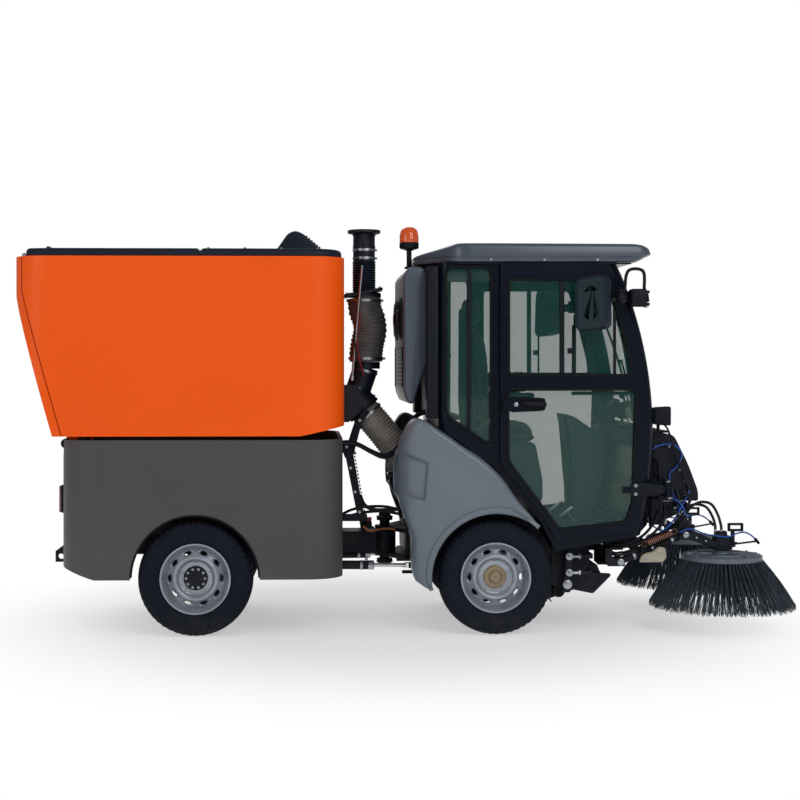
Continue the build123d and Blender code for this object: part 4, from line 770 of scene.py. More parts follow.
def disc_shape():
    """Pressed wheel disc. Its section is a spline of height over radius, turned on a grid. Points near an
    oval vent are moved onto its edge, with the distance measured in the oval's own radii, the sheet dips in
    round it, and faces within it are left out."""
    profile = smooth_path(mm([(162, 16), (155, 19), (148, 24), (135, 30), (122, 38), (115, 44), (107, 45),
                              (100, 41), (92, 32), (84, 26), (70, 24), (52, 25)]), steps=4,)
    turns = 180
    angle = TURN * np.arange(turns) / turns
    radius = np.repeat(profile[:, :1], turns, axis=1)
    height = np.repeat(profile[:, 1:], turns, axis=1)
    pitch = TURN / VENTS
    nearest = np.round(angle / pitch) * pitch
    across = (radius - VENT_R) / VENT_HALF[0]
    round_it = VENT_R * (angle - nearest)[None] / VENT_HALF[1] + 0 * radius
    far = np.hypot(across, round_it)
    near = np.abs(far - 1) < 0.45
    onto = np.where(near, 1 / np.maximum(far, 1e-6), 1.0)
    radius = VENT_R + VENT_HALF[0] * across * onto
    angle = nearest + VENT_HALF[1] * round_it * onto / VENT_R
    far = np.where(near, 1.0, far)
    height = height - 0.006 * np.exp(-(((far - 1) / 0.25) ** 2))
    points = np.stack([radius * np.cos(angle), radius * np.sin(angle), height], axis=-1)
    inside = far < 1.001
    wrapped = np.hstack([inside, inside[:, :1]])
    hole = wrapped[:-1, :-1] & wrapped[:-1, 1:] & wrapped[1:, 1:] & wrapped[1:, :-1]
    return grid(points, wrap_cols=True, kept=~hole)


# Radius and height of the rim's closed section.
RIM_RING = mm([(184, 68), (184, 74), (176, 74.5), (170, 66), (165, 48), (162, 20), (158, 10), (158, -22),
               (164, -34), (166, -58), (172, -70), (178, -74.5), (184, -73), (184, -66), (178, -66),
               (170, -52), (169, -30), (163, -18), (163, 8), (168, 22), (170, 50), (176, 66)])
REAR_HUB = mm([(64, 20), (63, 34), (58, 40), (40, 41), (36, 37), (18, 37), (14, 40), (0, 40)])
FRONT_HUB = mm([(60, 22), (59, 36), (54, 40), (40, 39), (34, 37), (30, 41), (28, 48), (22, 50), (8, 50),
                (6, 47), (0, 47)])


def round_places(count, radius, height, start=0.0):
    """Points evenly round the axis at one radius and height."""
    angle = start + TURN * np.arange(count) / count
    return np.stack([radius * np.cos(angle), radius * np.sin(angle), np.full(count, height)], axis=-1)


for end in ("rear", "front"):
    for side_name, side in SIDES.items():
        low, high = (np.array(v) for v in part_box(f"tyre_{end}_{side_name}"))
        centre, radius = (low + high) / 2, (high[2] - low[2]) / 2
        outward = (0, side, 0)
        body = f"wheel_{end}_{side_name}"
        tag = f"{end}_{side_name}"
        tyre = join(
            tyre_shape(radius),
            *[lathe([(r, 0.0), (r + 0.003, 0.0016), (r + 0.006, 0.0)], (0, 0, h), turns=90, kind="skin")
              for r, h in ((0.196, 0.0705), (0.252, 0.0812))],
        )
        piece(f"tyre_tread_{tag}", laid(tyre, centre, outward), TYRE, body, (f"tyre_{tag}",), hard=40)
        piece(f"rim_ring_{tag}", lathe(RIM_RING, centre, outward, 90, kind="ring"), WHEEL, body,
              (f"rim_{tag}",))
        piece(f"rim_disc_{tag}", laid(disc_shape(), centre, outward), WHEEL, body, solid=0.004)
        nuts = join(
            *[laid(hex_bolt(0.0095), place, UP) for place in round_places(LUGS, LUG_R, 0.024, start=0.3)],
            lathe(mm([(4.5, 0), (4.5, 20), (3, 26)]), (0.15, 0.02, 0.026), (0.3, 0, 1), 10),
        )
        if end == "rear":
            nuts = join(nuts, *[laid(hex_bolt(0.0058), place, UP) for place in round_places(10, 0.049,
                        0.04)])
        piece(f"wheel_nuts_{tag}", laid(nuts, centre, outward), ZINC, body)
        hub = REAR_HUB if end == "rear" else FRONT_HUB
        piece(f"hub_{tag}", lathe(hub, centre, outward, 48), CHASSIS if end == "rear" else BRONZE, body)
        drum = lathe(mm([(100, -50), (105, -46), (105, -12), (98, -6), (50, -4), (50, 22), (0, 22)]),
                     turns=48)
        piece(f"brake_drum_{tag}", laid(drum, centre, outward), CHASSIS, body)

# ------------------------------ hoses of the suction path
RIB_PITCH = 0.021
RIB_DEEP = 0.0065


def ribbed(pitch, deep):
    """Ribs of a hose on a wire helix: minus the depth times (1 + cos(2 pi s / pitch - a)) / 2, to the power
    0.7, so that the crests over the wire are narrow and the valleys wide."""
    return lambda along, angle: -deep * (0.5 + 0.5 * np.cos(TURN * along / pitch - angle)) ** 0.7


def duct_hose(route, radius, pitch=RIB_PITCH, deep=RIB_DEEP, sides=48):
    """Ribbed hose along a spline through a route."""
    path, _ = even_path(smooth_path(route, steps=16), pitch / 6)
    return tube(path, radius, sides, wave=ribbed(pitch, deep))


def clamp(place, axis, radius, width=0.014):
    """Band round a hose with its screw: a ring section, a block and a bolt across it."""
    half = width / 2
    band = [(radius, -half), (radius + 0.003, -half), (radius + 0.003, half), (radius, half)]
    screw = join(
        soft_box((radius, -0.012, -half), (radius + 0.012, 0.012, half), 0.002),
        bar((radius + 0.008, -0.018, 0), (radius + 0.008, 0.02, 0), 0.004, 8),
    )
    return laid(join(lathe(band, turns=48, kind="ring"), screw), place, axis)


STACK_R = 0.096
STACK_X = -0.219
stack_route = [(-0.208, 0, 1.4293), (-0.208, 0, 1.47), (-0.2, 0, 1.53), (-0.186, 0, 1.6), (-0.192, 0, 1.66),
               (-0.212, 0, 1.72), (STACK_X, 0, 1.7868)]
piece("stack_hose_ribs", duct_hose(stack_route, STACK_R), DUCT_HOSE, "hopper", ("stack_hose",), hard=60)
low_route = mm([(-214.9, 0, 1156.5), (-180, 0, 1117), (-139, 0, 1070), (-80, 0, 995), (-29, 0, 924),
                (-6, 0, 865), (0, 0, 820), (0, 0, 790)])
low_hose = piece("suction_hose_ribs", duct_hose(low_route, 0.087, pitch=0.018), PALE_HOSE, None,
                 ("suction_hose",), hard=60)
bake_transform(low_hose)
boot_route = mm([(640.3, 0, 461.9), (680, 0, 453), (722.7, 0, 445.5), (770, 0, 425), (800, 0, 383),
                 (812.4, 0, 348)])
boot = piece("nozzle_boot_ribs", duct_hose(boot_route, 0.08, pitch=0.024, deep=0.008), DUCT_HOSE, None,
             ("nozzle_boot",), hard=60)
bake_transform(boot)

FALL = np.array((0.6606, 0, -0.7507))
piece("stack_clamps", [clamp((-0.208, 0, 1.447), UP, STACK_R), clamp((STACK_X, 0, 1.77), UP, STACK_R),
                       clamp((-0.214, 0, 1.38), (0.32, 0, 1), 0.0705), clamp((STACK_X, 0, 2.006), UP, 0.061),
                       clamp((STACK_X, 0, 2.052), UP, 0.061)], ZINC, "hopper",)
piece("low_hose_clamp", clamp(np.array((-0.2149, 0, 1.1565)) + FALL * 0.028, FALL, 0.087), ZINC, REAR)
piece("duct_clamps", [clamp((0, 0, 0.806), UP, 0.087), clamp((0, 0, 0.762), UP, 0.0805)], ZINC,
      FRONT)

RIBS = [(0.061 + 0.0055 * (k % 2), 1.822 + 0.007 * k) for k in range(25)]
# Outlet pipe: banded sheet tube in a pressed collar, under a turned rain cap with an open grating.
pipe = lathe([(0.094, 1.7873), (0.095, 1.79), (0.095, 1.808), (0.09, 1.813), (0.064, 1.816), (0.061, 1.818),
              *RIBS, (0.061, 1.998), (0.061, 2.06), (0.063, 2.062), (0.063, 2.076), (0.061, 2.078),
              (0.061, 2.128), (0.068, 2.14), (0.088, 2.144), (0.092, 2.148), (0.092, 2.16), (0.089, 2.163),
              (0.083, 2.161), (0.08, 2.15), (0.0, 2.148)], (STACK_X, 0, 0), turns=48,)
slats = [bar((STACK_X - w, y, 2.156), (STACK_X + w, y, 2.156), 0.0025, 8)
         for y, w in ((y, math.sqrt(0.083**2 - y**2)) for y in np.linspace(-0.066, 0.066, 7))]
slant = plate(rounded(mm([(-340, -100), (-118, -100), (-118, 100), (-340, 100)]), 0.03), 0, 0.018, "top")
slant = (slant[0] + np.array((0, 0, 1.782)) + np.outer((slant[0][:, 0] + 0.341) * 0.188, UP), slant[1])
slant_bolts = bolts([(x, y, 1.801 + (x + 0.341) * 0.188) for x in (-0.318, -0.136) for y in (-0.082, 0.082)],
                    UP)
piece("stack_outlet", [pipe, *slats, slant], PIPE, "hopper", ("stack_pipe",))
piece("stack_plate_bolts", slant_bolts, ZINC, "hopper")
lever = join(bar((-0.234, -0.118, 1.955), (-0.288, -0.118, 1.345), 0.008), bar((-0.234, -0.118, 1.955),
        (-0.234, -0.06, 1.955), 0.006), soft_box((-0.296, -0.126, 1.325), (-0.28, -0.098, 1.352), 0.003))
piece("flap_lever", lever, ZINC, "hopper")
duct_bolts = [(-0.248, y, z) for y in (-0.086, 0.086) for z in (1.112, 1.198, 1.284)]
piece("intake_bolts", bolts(duct_bolts, AHEAD), ZINC, "hopper")
seal_points = [np.array((-0.225, 0, 1.168)) - FALL * 0.018 + laid((p[None], []), (0, 0, 0), FALL)[0][0]
               for p in round_places(8, 0.088, 0.0, start=0.4)]
piece("seal_flange", lathe(mm([(80, -20), (99, -20), (99, -4), (80, -4)]), (-0.225, 0, 1.168), FALL, 48,
                           kind="ring"), PIPE, "hopper")
piece("seal_bolts", bolts([p - FALL * 0.004 for p in seal_points], -FALL, 0.006), ZINC, "hopper")

# Two pressure hoses and a cable in spiral wrap, carried across the steering joint.
# X and z.
LOOM_ROUTE = mm([(-348.7, 985), (-300, 986), (-250, 972), (-191, 942), (-130, 917), (-80, 927), (-35, 975),
                 (0, 1050), (35, 1112), (85, 1152), (149.7, 1160)])
LOOM_Y = -0.24
# Radians of twist in each metre.
LOOM_TWIST = 5.0


def loom_strand(offset_y, offset_z, radius):
    """One hose of the loom: the route moved by an offset that turns with the length."""
    path, along = even_path(smooth_path([(x, LOOM_Y, z) for x, z in LOOM_ROUTE]), 0.008)
    turned = LOOM_TWIST * along
    path[:, 1] += offset_y * np.cos(turned) - offset_z * np.sin(turned)
    path[:, 2] += offset_y * np.sin(turned) + offset_z * np.cos(turned)
    return tube(path, radius, 12)


loom_parts = [loom_strand(-0.009, 0.002, 0.0088), loom_strand(0.009, -0.002, 0.0088),
              loom_strand(0.001, 0.013, 0.0045)]
loom = piece("loom_hoses", loom_parts, HYDRAULIC, None, ("loom",))
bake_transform(loom)

# ------------------------------ front fenders
ARCH = (0.448, 0.3)  # centre in x and z
ARCH_R = 0.337
FENDER_Y = (0.41, 0.64)
FENDER_CORNER = 0.2
# X and z of the free edge, from the arch's rear foot over the top to its front end.
FENDER_LINE = mm([(104, 242), (42, 278), (21, 304), (10, 502), (-52, 690), (-68, 740), (-70, 866),
                  (-57, 970), (-26, 1063), (42, 1131), (156, 1068), (270, 990), (364, 928), (468, 834),
                  (546, 725), (598, 658), (668, 569)])
RECESS_TOP = (0.941, -0.37)  # z at x = 0, and its slope along x
RECESS_LOW = (0.723, -0.26)
RECESS_FRONT = (0.094, 0.094)  # x at z = 0.886, and its slope along z
RECESS_DEEP = 0.026


def fender_shape(side):
    """Fender as a polar sheet about the wheel's centre. A ray at angle a runs from the arch to the free
    edge, found by interpolation of the outline's own angles. At each ray the section starts inboard of the
    arch, turns out through a raised lip, crosses the flank and rolls over the free edge to the inboard rim.
    The rear rounds in plan: y falls by R - sqrt(R^2 - (R - u)^2) where u, the distance to the rear face, is
    below R. The pocket is open to the rear and sinks by a product of three smooth steps."""
    line = np.array(FENDER_LINE)
    offset = line - ARCH
    angle = np.unwrap(np.arctan2(offset[:, 1], offset[:, 0]))
    smooth = smooth_path([(a, r) for a, r in zip(angle, np.hypot(*offset.T))], steps=5)
    rays = np.linspace(angle[0], angle[-1], 220)
    order = np.argsort(smooth[:, 0])
    edge = np.interp(rays, smooth[order, 0], smooth[order, 1])
    width = edge - ARCH_R
    lip = np.minimum(0.034, 0.3 * width)
    roll = np.minimum(0.04, 0.3 * width)
    section = []  # share of the radius walked, then y from the outer face inwards
    section.append((ARCH_R, 0.225))
    section.append((ARCH_R, 0.02))
    for t in np.linspace(0, 1, 6):
        swing = t * math.pi / 2
        section.append((ARCH_R + 0.012 * (1 - math.cos(swing)), 0.01 * (1 - math.sin(swing)) - 0.002))
    section.append((ARCH_R + lip * 0.95, -0.003))
    section.append((ARCH_R + lip, 0.001))
    section.append((ARCH_R + lip * 1.05, 0.0075))
    for t in np.linspace(0.12, 1, 44):
        flank = 0.0065 - 0.002 * math.sin(t * math.pi)
        section.append((ARCH_R + lip * 1.2 + (width - lip * 1.2 - roll) * t, flank))
    for t in np.linspace(0.15, 1, 8):
        swing = t * math.pi / 2
        section.append((edge - roll + roll * math.sin(swing), 0.0065 + roll * (1 - math.cos(swing))))
    section.append((edge, roll + 0.06))
    section.append((edge, 0.225))
    radius = np.stack([r + 0 * edge for r, _ in section])
    depth = np.stack([d + 0 * edge for _, d in section])
    x = ARCH[0] + radius * np.cos(rays)
    z = ARCH[1] + radius * np.sin(rays)
    rear = -0.07
    left = np.clip(x - rear, 0, FENDER_CORNER)
    fall = FENDER_CORNER - np.sqrt(FENDER_CORNER**2 - (FENDER_CORNER - left) ** 2)

    def step(value, start, end):
        t = np.clip((value - start) / (end - start), 0, 1)
        return t * t * (3 - 2 * t)

    soft = 0.012
    top, low = RECESS_TOP[0] + RECESS_TOP[1] * x, RECESS_LOW[0] + RECESS_LOW[1] * x
    front = RECESS_FRONT[0] + RECESS_FRONT[1] * (z - 0.886)
    pocket = step(top - z, 0, soft) * step(z - low, 0, soft) * step(front - x, 0, soft)
    on_flank = depth < 0.03
    depth = depth + RECESS_DEEP * pocket * on_flank
    y = FENDER_Y[1] - depth - np.where(depth < 0.15, fall, 0)
    y = np.maximum(y, FENDER_Y[0] + 0.004)
    return grid(np.stack([x, side * y, z], axis=-1))


fenders = join(*[fender_shape(side) for side in SIDES.values()])
piece("fender_shells", fenders, FENDER, FRONT, ("front_fenders",), hard=50, solid=0.008)
# Pressed liner behind each front wheel: a flat sector between two radii about the axle.
sweep = np.radians(np.linspace(14, 166, 48))
sector = np.concatenate([r * np.stack([np.cos(way), np.sin(way)], axis=-1) + ARCH
                         for r, way in ((0.262, sweep), (0.341, sweep[::-1]))])
liners = [plate(sector, side * 0.412, side * 0.417) for side in SIDES.values()]
piece("arch_liners", liners, CHASSIS, FRONT)

# ------------------------------ roof
ROOF_PLAN = mm([(41, -330), (250, -600), (1262, -600), (1262, 600), (250, 600), (41, 330)])
# Inset and height of each ring.
ROOF_LEVELS = [(30, 1948), (8, 1949), (2, 1953), (0, 1960), (0, 1968), (3, 1972), (3, 1977), (0, 1981),
               (0, 1992), (1, 2024), (3, 2034), (8, 2041), (16, 2046), (40, 2050), (41, 2050)]
ROOF_SLOPE_X = 0.25


def roof_shape():
    """Cab roof: its plan with round corners in rings that lean in towards a crowned top, which falls to the
    rear ahead of the plan's taper. The nose is drawn out to a lip at z 1.993 and falls back under and over
    it."""
    outline = rounded(ROOF_PLAN, 0.075, steps=9)
    verts, faces = stack(outline, [(inset * MM, height * MM) for inset, height in ROOF_LEVELS[:-1]])
    x, y, z = verts.T
    high = np.clip((z - 1.985) / 0.065, 0, 1)
    slope = np.clip((ROOF_SLOPE_X - x) / 0.209, 0, 1)
    nose = np.clip((x - 1.1) / 0.162, 0, 1)
    verts[:, 2] = z - high * (0.054 * slope + 0.01 * nose**2)
    under = np.clip((1.993 - z) / 0.045, 0, 1)
    above = np.clip((z - 1.993) / 0.057, 0, 1)
    verts[:, 0] = x + nose * (0.016 - 0.09 * under - 0.045 * above**1.5)
    return verts, faces


piece("roof_moulding", roof_shape(), ROOF, FRONT, ("cab_roof",), hard=32)
roof_screws = [(x, side * 0.601, 1.961) for x in (0.42, 0.7, 0.98) for side in (-1, 1)]
piece("roof_screws", [laid(hex_bolt(0.0055), place, (0, np.sign(place[1]), 0)) for place in roof_screws],
      ZINC, FRONT)

# ------------------------------ air conditioning unit
# X and z.
AC_LINE = mm([(4, 1205), (-22, 1260), (-22, 1900), (10, 1936), (80, 1936), (128, 1850), (128, 1480),
              (60, 1300), (30, 1205)])
AC_HALF = 0.43
FAN_Y = 0.2
FAN_Z = 1.667
FAN_R = 0.12


def ac_shell():
    """Moulded housing across the cab's back: its side outline in rings from one end to the other, each end
    leaning in over a round edge."""
    ends = [(0.016, AC_HALF), (0.009, AC_HALF - 0.003), (0.004, AC_HALF - 0.009), (0.001, AC_HALF - 0.018),
            (0, AC_HALF - 0.03)]
    levels = [(inset, -height) for inset, height in ends] + [(0, 0.0)] + ends[::-1]
    return stack(rounded(AC_LINE, [0.012, 0.03, 0.05, 0.03, 0.05, 0.06, 0.1, 0.1, 0.012], steps=7), levels,
                 "side")


piece("ac_housing", ac_shell(), AIRCON, FRONT, ("ac_unit",), hard=40)


def fan_shape(side):
    """Fan in its tapered shroud at the housing's rear: a turned cowl, seven blades as sheets whose lead grows
    with the angle, and a hub. Z points rearwards."""
    cowl = lathe([(FAN_R, 0.0), (FAN_R - 0.003, 0.009), (0.1, 0.012), (0.097, 0.011), (0.112, 0.002)],
                 turns=60, kind="ring")
    hub = lathe(mm([(48, 2), (48, 14), (40, 21), (18, 23), (0, 23)]), turns=32)
    blades = []
    for k in range(7):
        spread = np.linspace(0, 0.62, 6)[:, None] + TURN * k / 7
        reach = np.linspace(0.046, 0.098, 6)[None]
        height = 0.002 + 0.006 * np.linspace(0, 1, 6)[:, None] * (reach / 0.098)
        sheet = np.stack([reach * np.cos(spread), reach * np.sin(spread), height + 0 * reach], axis=-1)
        blades.append(grid(sheet))
    return laid(join(cowl, hub, *blades), (-0.0225, side * FAN_Y, FAN_Z), (-1, 0, 0))


def guard_shape(side):
    """Round wire guard: three rings and six spokes over the cowl's mouth."""
    rings = [lathe([(r, 0.0), (r + 0.0025, 0.0025), (r, 0.005), (r - 0.0025, 0.0025)], turns=48,
                   kind="ring") for r in (0.06, 0.076, 0.092)]
    spokes = [bar((0.04 * math.cos(a), 0.04 * math.sin(a), 0.002), (0.1 * math.cos(a), 0.1 * math.sin(a),
                0.002), 0.002, 8) for a in TURN * np.arange(6) / 6]
    return laid(join(*rings, *spokes), (-0.034, side * FAN_Y, FAN_Z), (-1, 0, 0))


piece("ac_fans", [fan_shape(side) for side in SIDES.values()], TRIM, FRONT, hard=40)
piece("ac_guards", [guard_shape(side) for side in SIDES.values()], TRIM, FRONT)
louvres = [soft_box((-0.027, -0.33, z), (-0.02, 0.33, z + 0.01), 0.003) for z in np.arange(1.3, 1.5, 0.022)]
louvres += [soft_box((-0.028, -0.345, 1.288), (-0.02, -0.331, 1.512), 0.003),
            soft_box((-0.028, 0.331, 1.288), (-0.02, 0.345, 1.512), 0.003)]
piece("ac_louvres", louvres, TRIM, FRONT)

# ------------------------------ beacon
BEACON = (0.02, -0.2)
dome = lathe(mm([(50, 2078), (52, 2086), (51.5, 2100), (49.5, 2120), (45.5, 2138), (38, 2152), (25, 2162),
                 (10, 2165.5), (0, 2166)]), (*BEACON, 0), turns=48)
rib_line = np.array(mm([(51.5, 2100), (49.5, 2120), (45.5, 2138), (38, 2152)]))
ribs = [tube([(BEACON[0] + r * math.cos(a), BEACON[1] + r * math.sin(a), z) for r, z in rib_line], 0.0014,
             6) for a in TURN * np.arange(28) / 28]
piece("beacon_dome", [dome, *ribs], AMBER, FRONT, ("beacon",), hard=30)
post = join(lathe(mm([(26, 1936.5), (26, 1944), (14, 1952), (14, 2034), (30, 2040), (50, 2046), (53, 2052),
                      (53, 2076), (49, 2080)]), (*BEACON, 0), turns=40), soft_box((-0.002, -0.232, 1.936),
        (0.062, -0.168, 1.944), 0.003),)
piece("beacon_post", post, TRIM, FRONT)

# ------------------------------ mirrors
MIRROR_CENTRE = (0.945, 0.727, 1.724)
MIRROR_HALF = (0.095, 0.1415)  # across and up
MIRROR_TURN = math.radians(45)  # glass turned outwards from straight back
MIRROR_SEAT = 0.034  # from the housing's middle to its rim


def mirror_back():
    """Mirror housing about its own axis, which points out of the glass: a rounded oblong in rings that
    swell and close over the back, and fall in to the glass's seat in front."""
    w, h = MIRROR_HALF
    outline = rounded([(-w, -h), (w, -h), (w, h), (-w, h)], 0.045, steps=9)
    levels = mm([(60, -82), (40, -79), (22, -68), (10, -50), (3, -24), (0, 0), (1, 11), (4, 14), (9, 13),
                 (11, 7)])
    return stack(outline, levels)


def mirror_pane():
    """Mirror glass in its seat, bulging by the square of the distance from its middle."""
    w, h = MIRROR_HALF[0] - 0.01, MIRROR_HALF[1] - 0.01
    outline = rounded([(-w, -h), (w, -h), (w, h), (-w, h)], 0.04, steps=9)
    return stack(outline, mm([(0, 7.5), (20, 8.8), (45, 9.8), (70, 10.2)]))


lean = (-0.12, 0, 0.99)
for side_name, side in SIDES.items():
    facing = np.array((-math.cos(MIRROR_TURN), side * math.sin(MIRROR_TURN), 0.1))
    centre = mirror_y(MIRROR_CENTRE, side) + facing * MIRROR_SEAT
    piece(f"mirror_housing_{side_name}", laid(mirror_back(), centre, facing, lean), COVER, f"door_{side_name}",
          (f"mirror_{side_name}",), "cab_black", hard=32)
    piece(f"mirror_glass_{side_name}", laid(mirror_pane(), centre, facing, lean), MIRROR_GLASS,
          f"door_{side_name}", hard=30)
loop = mm([(1070, 735, 1765), (1094, 730, 1800), (1104, 722, 1870), (1126, 712, 1902), (1178, 694, 1906),
           (1206, 682, 1882), (1208, 674, 1795)])
ball = lathe(mm([(0, -34), (16, -32), (27, -22), (31, 0), (27, 20), (18, 30), (18, 40), (0, 40)]),
             (1.072, 0.735, 1.76), turns=24)
link = bar((1.0, 0.742, 1.735), (1.064, 0.736, 1.756), 0.013)
blocks = [soft_box((1.136, 0.624, 1.716), (1.182, 0.66, 1.804), 0.008),
          soft_box((1.136, 0.656, 1.712), (1.222, 0.688, 1.806), 0.012)]
pair("mirror_arm", [hose(loop, 0.0085), ball, link, *blocks], TRIM, "door")

# ------------------------------ lamps
centre = (1.345, 0.465, 1.14)
outline = rounded(mm([(-40, -50), (40, -50), (40, 50), (-40, 50)]), 0.016, steps=7)
housing = stack(outline, mm([(16, -44), (6, -40), (3, -30), (0, 30), (0, 42), (3, 44.5), (6, 44.5),
                             (7, 38)]))
fins = [soft_box((-0.032, y, -0.05), (0.032, y + 0.004, -0.03), 0.0015) for y in np.arange(-0.036, 0.04,
        0.012)]
shape = laid(join(housing, *fins), centre, AHEAD)
pair("work_lamp", shape, TRIM, FRONT, "work_lamps")
cup = laid(stack(rounded(outline[::7] * 0.82, 0.01), [(0, 0.036), (0.012, 0.034)]), centre, AHEAD)
cells = [lathe(mm([(10.5, 0), (10.5, 3), (8, 5), (0, 6)]), (centre[0] + 0.036, centre[1] + y, centre[2] + z),
               AHEAD, 20) for y in (-0.019, 0.0, 0.019) for z in (-0.028, -0.005, 0.018)]
pair("work_lens", [cup, *cells], CLEAR_LENS, FRONT)
mount = [
    soft_box((1.29, 0.455, 1.052), (1.334, 0.475, 1.066), 0.004),
    soft_box((1.322, 0.452, 1.054), (1.336, 0.478, 1.094), 0.004),
    bar((1.34, 0.418, 1.1), (1.34, 0.512, 1.1), 0.007, 12),
]
pair("work_bracket", mount, CHASSIS, FRONT)

# ------------------------------ brushes
BRUSH = (1.68, 0.43)
ARM_LOW = np.array((1.13, 0.43, 0.363))
ARM_HIGH = np.array((1.48, 0.43, 0.507))
PLATE_Z = 0.382
TUFTS = (72, 56)  # in the outer and the inner ring
TUFT_RINGS = (0.2, 0.166)
STRANDS = 18
STRAND_R = 0.002


def bristle_shape(centre, seed):
    """Bristles as thin three-sided strands in two rings of tufts. A strand leaves the plate at radius r0
    and ends at r1 near the floor: its radius is r0 + (r1 - r0) t + 0.010 sin(pi t) and its height falls
    evenly with t. Strands of a tuft start together and spread by random angles and lengths."""
    dice = np.random.default_rng(seed)
    t = np.linspace(0, 1, 5)
    parts = []
    for count, ring, reach in zip(TUFTS, TUFT_RINGS, (0.378, 0.322)):
        tuft = TURN * np.repeat(np.arange(count), STRANDS) / count
        total = len(tuft)
        r0 = ring + dice.uniform(-0.008, 0.008, total)
        r1 = reach + dice.normal(0, 0.012, total)
        r1 = np.minimum(r1, 0.3825)
        a0 = tuft + dice.uniform(-0.026, 0.026, total)
        a1 = tuft + dice.normal(0, 0.026, total)
        z1 = dice.uniform(0.119, 0.14, total)
        radius = r0[:, None] + (r1 - r0)[:, None] * t + 0.01 * np.sin(math.pi * t)
        angle = a0[:, None] + (a1 - a0)[:, None] * t**1.5
        height = PLATE_Z + (z1 - PLATE_Z)[:, None] * t
        line = np.stack([radius * np.cos(angle), radius * np.sin(angle), height], axis=-1)
        out = np.stack([np.cos(angle), np.sin(angle), 0 * angle], axis=-1)
        side = np.stack([-np.sin(angle), np.cos(angle), 0 * angle], axis=-1)
        width = (STRAND_R * (1 - 0.35 * t))[None, :, None]
        corners = [line + width * (out * math.cos(c) + side * math.sin(c))
                   for c in (0, TURN / 3, 2 * TURN / 3)]
        rings = np.stack(corners, axis=2)  # strand, step, corner, axis
        points = rings.reshape(-1, 3)
        steps = len(t)
        base = (np.arange(total) * steps * 3)[:, None, None]
        row = (np.arange(steps - 1) * 3)[None, :, None]
        corner = np.arange(3)[None, None, :]
        following = (corner + 1) % 3
        quads = np.stack([base + row + corner, base + row + following, base + row + 3 + following,
                          base + row + 3 + corner], axis=-1).reshape(-1, 4)
        ends = base[:, 0, :] + (steps - 1) * 3 + np.arange(3)[None]
        parts.append((points + np.array((*centre, 0)), [quads, ends]))
    return join(*parts)


def clip_on(place, axis, radius):
    """Pipe clip: a band round a hose or bar with a flat tab and its bolt."""
    band = lathe([(radius, -0.007), (radius + 0.002, -0.007), (radius + 0.002, 0.007), (radius, 0.007)],
                 turns=20, kind="ring")
    tab = soft_box((radius, -0.007, -0.007), (radius + 0.018, -0.003, 0.007), 0.001)
    return laid(join(band, tab, laid(hex_bolt(0.004), (radius + 0.01, -0.007, 0), (0, -1, 0))), place, axis)


def fitting(place, axis, size):
    """Hose end: a hexagon nut, a collar and a crimped ferrule along the axis."""
    nut = lathe([(size, 0), (size, size * 1.1), (0, size * 1.1)], turns=6)
    ferrule = lathe([(0, size), (size * 0.75, size), (size * 0.82, size * 1.4), (size * 0.82, size * 3.0),
                     (size * 0.7, size * 3.2), (0, size * 3.2)], turns=18)
    return laid(join(nut, ferrule), place, axis)


for side_name, side in SIDES.items():
    tufts = bristle_shape((BRUSH[0], side * BRUSH[1]), 5 if side > 0 else 9)
    piece(f"bristle_tufts_{side_name}", tufts, BRISTLE, f"brush_{side_name}",
          (f"brush_bristles_{side_name}",), hard=180)
over_brush = (*BRUSH, 0)
plate_ring = lathe(mm([(0, 405), (46, 405), (48, 402), (120, 402), (124, 408), (150, 408), (154, 402),
                       (205, 400), (212, 394), (213, 372), (209, 372), (207, 380), (0, 382)]), over_brush,
                   turns=72,)
hub_ring = lathe(mm([(0, 422), (34, 422), (38, 419), (38, 410), (50, 409), (52, 404), (0, 404)]), over_brush,
                 turns=36)
webs = [bar((BRUSH[0] + 0.055 * math.cos(a), BRUSH[1] + 0.055 * math.sin(a), 0.404),
            (BRUSH[0] + 0.19 * math.cos(a), BRUSH[1] + 0.19 * math.sin(a), 0.403), 0.006, 8)
        for a in TURN * np.arange(6) / 6]
pair("brush_plate", [plate_ring, hub_ring, *webs], PLATE, "brush", "brush_disc")
ring_bolts = round_places(12, 0.186, 0.402) + over_brush
hub_bolts = round_places(6, 0.043, 0.409) + over_brush
pair("brush_bolts", [bolts(ring_bolts, UP, 0.006), bolts(hub_bolts, UP, 0.0045)], ZINC, "brush")

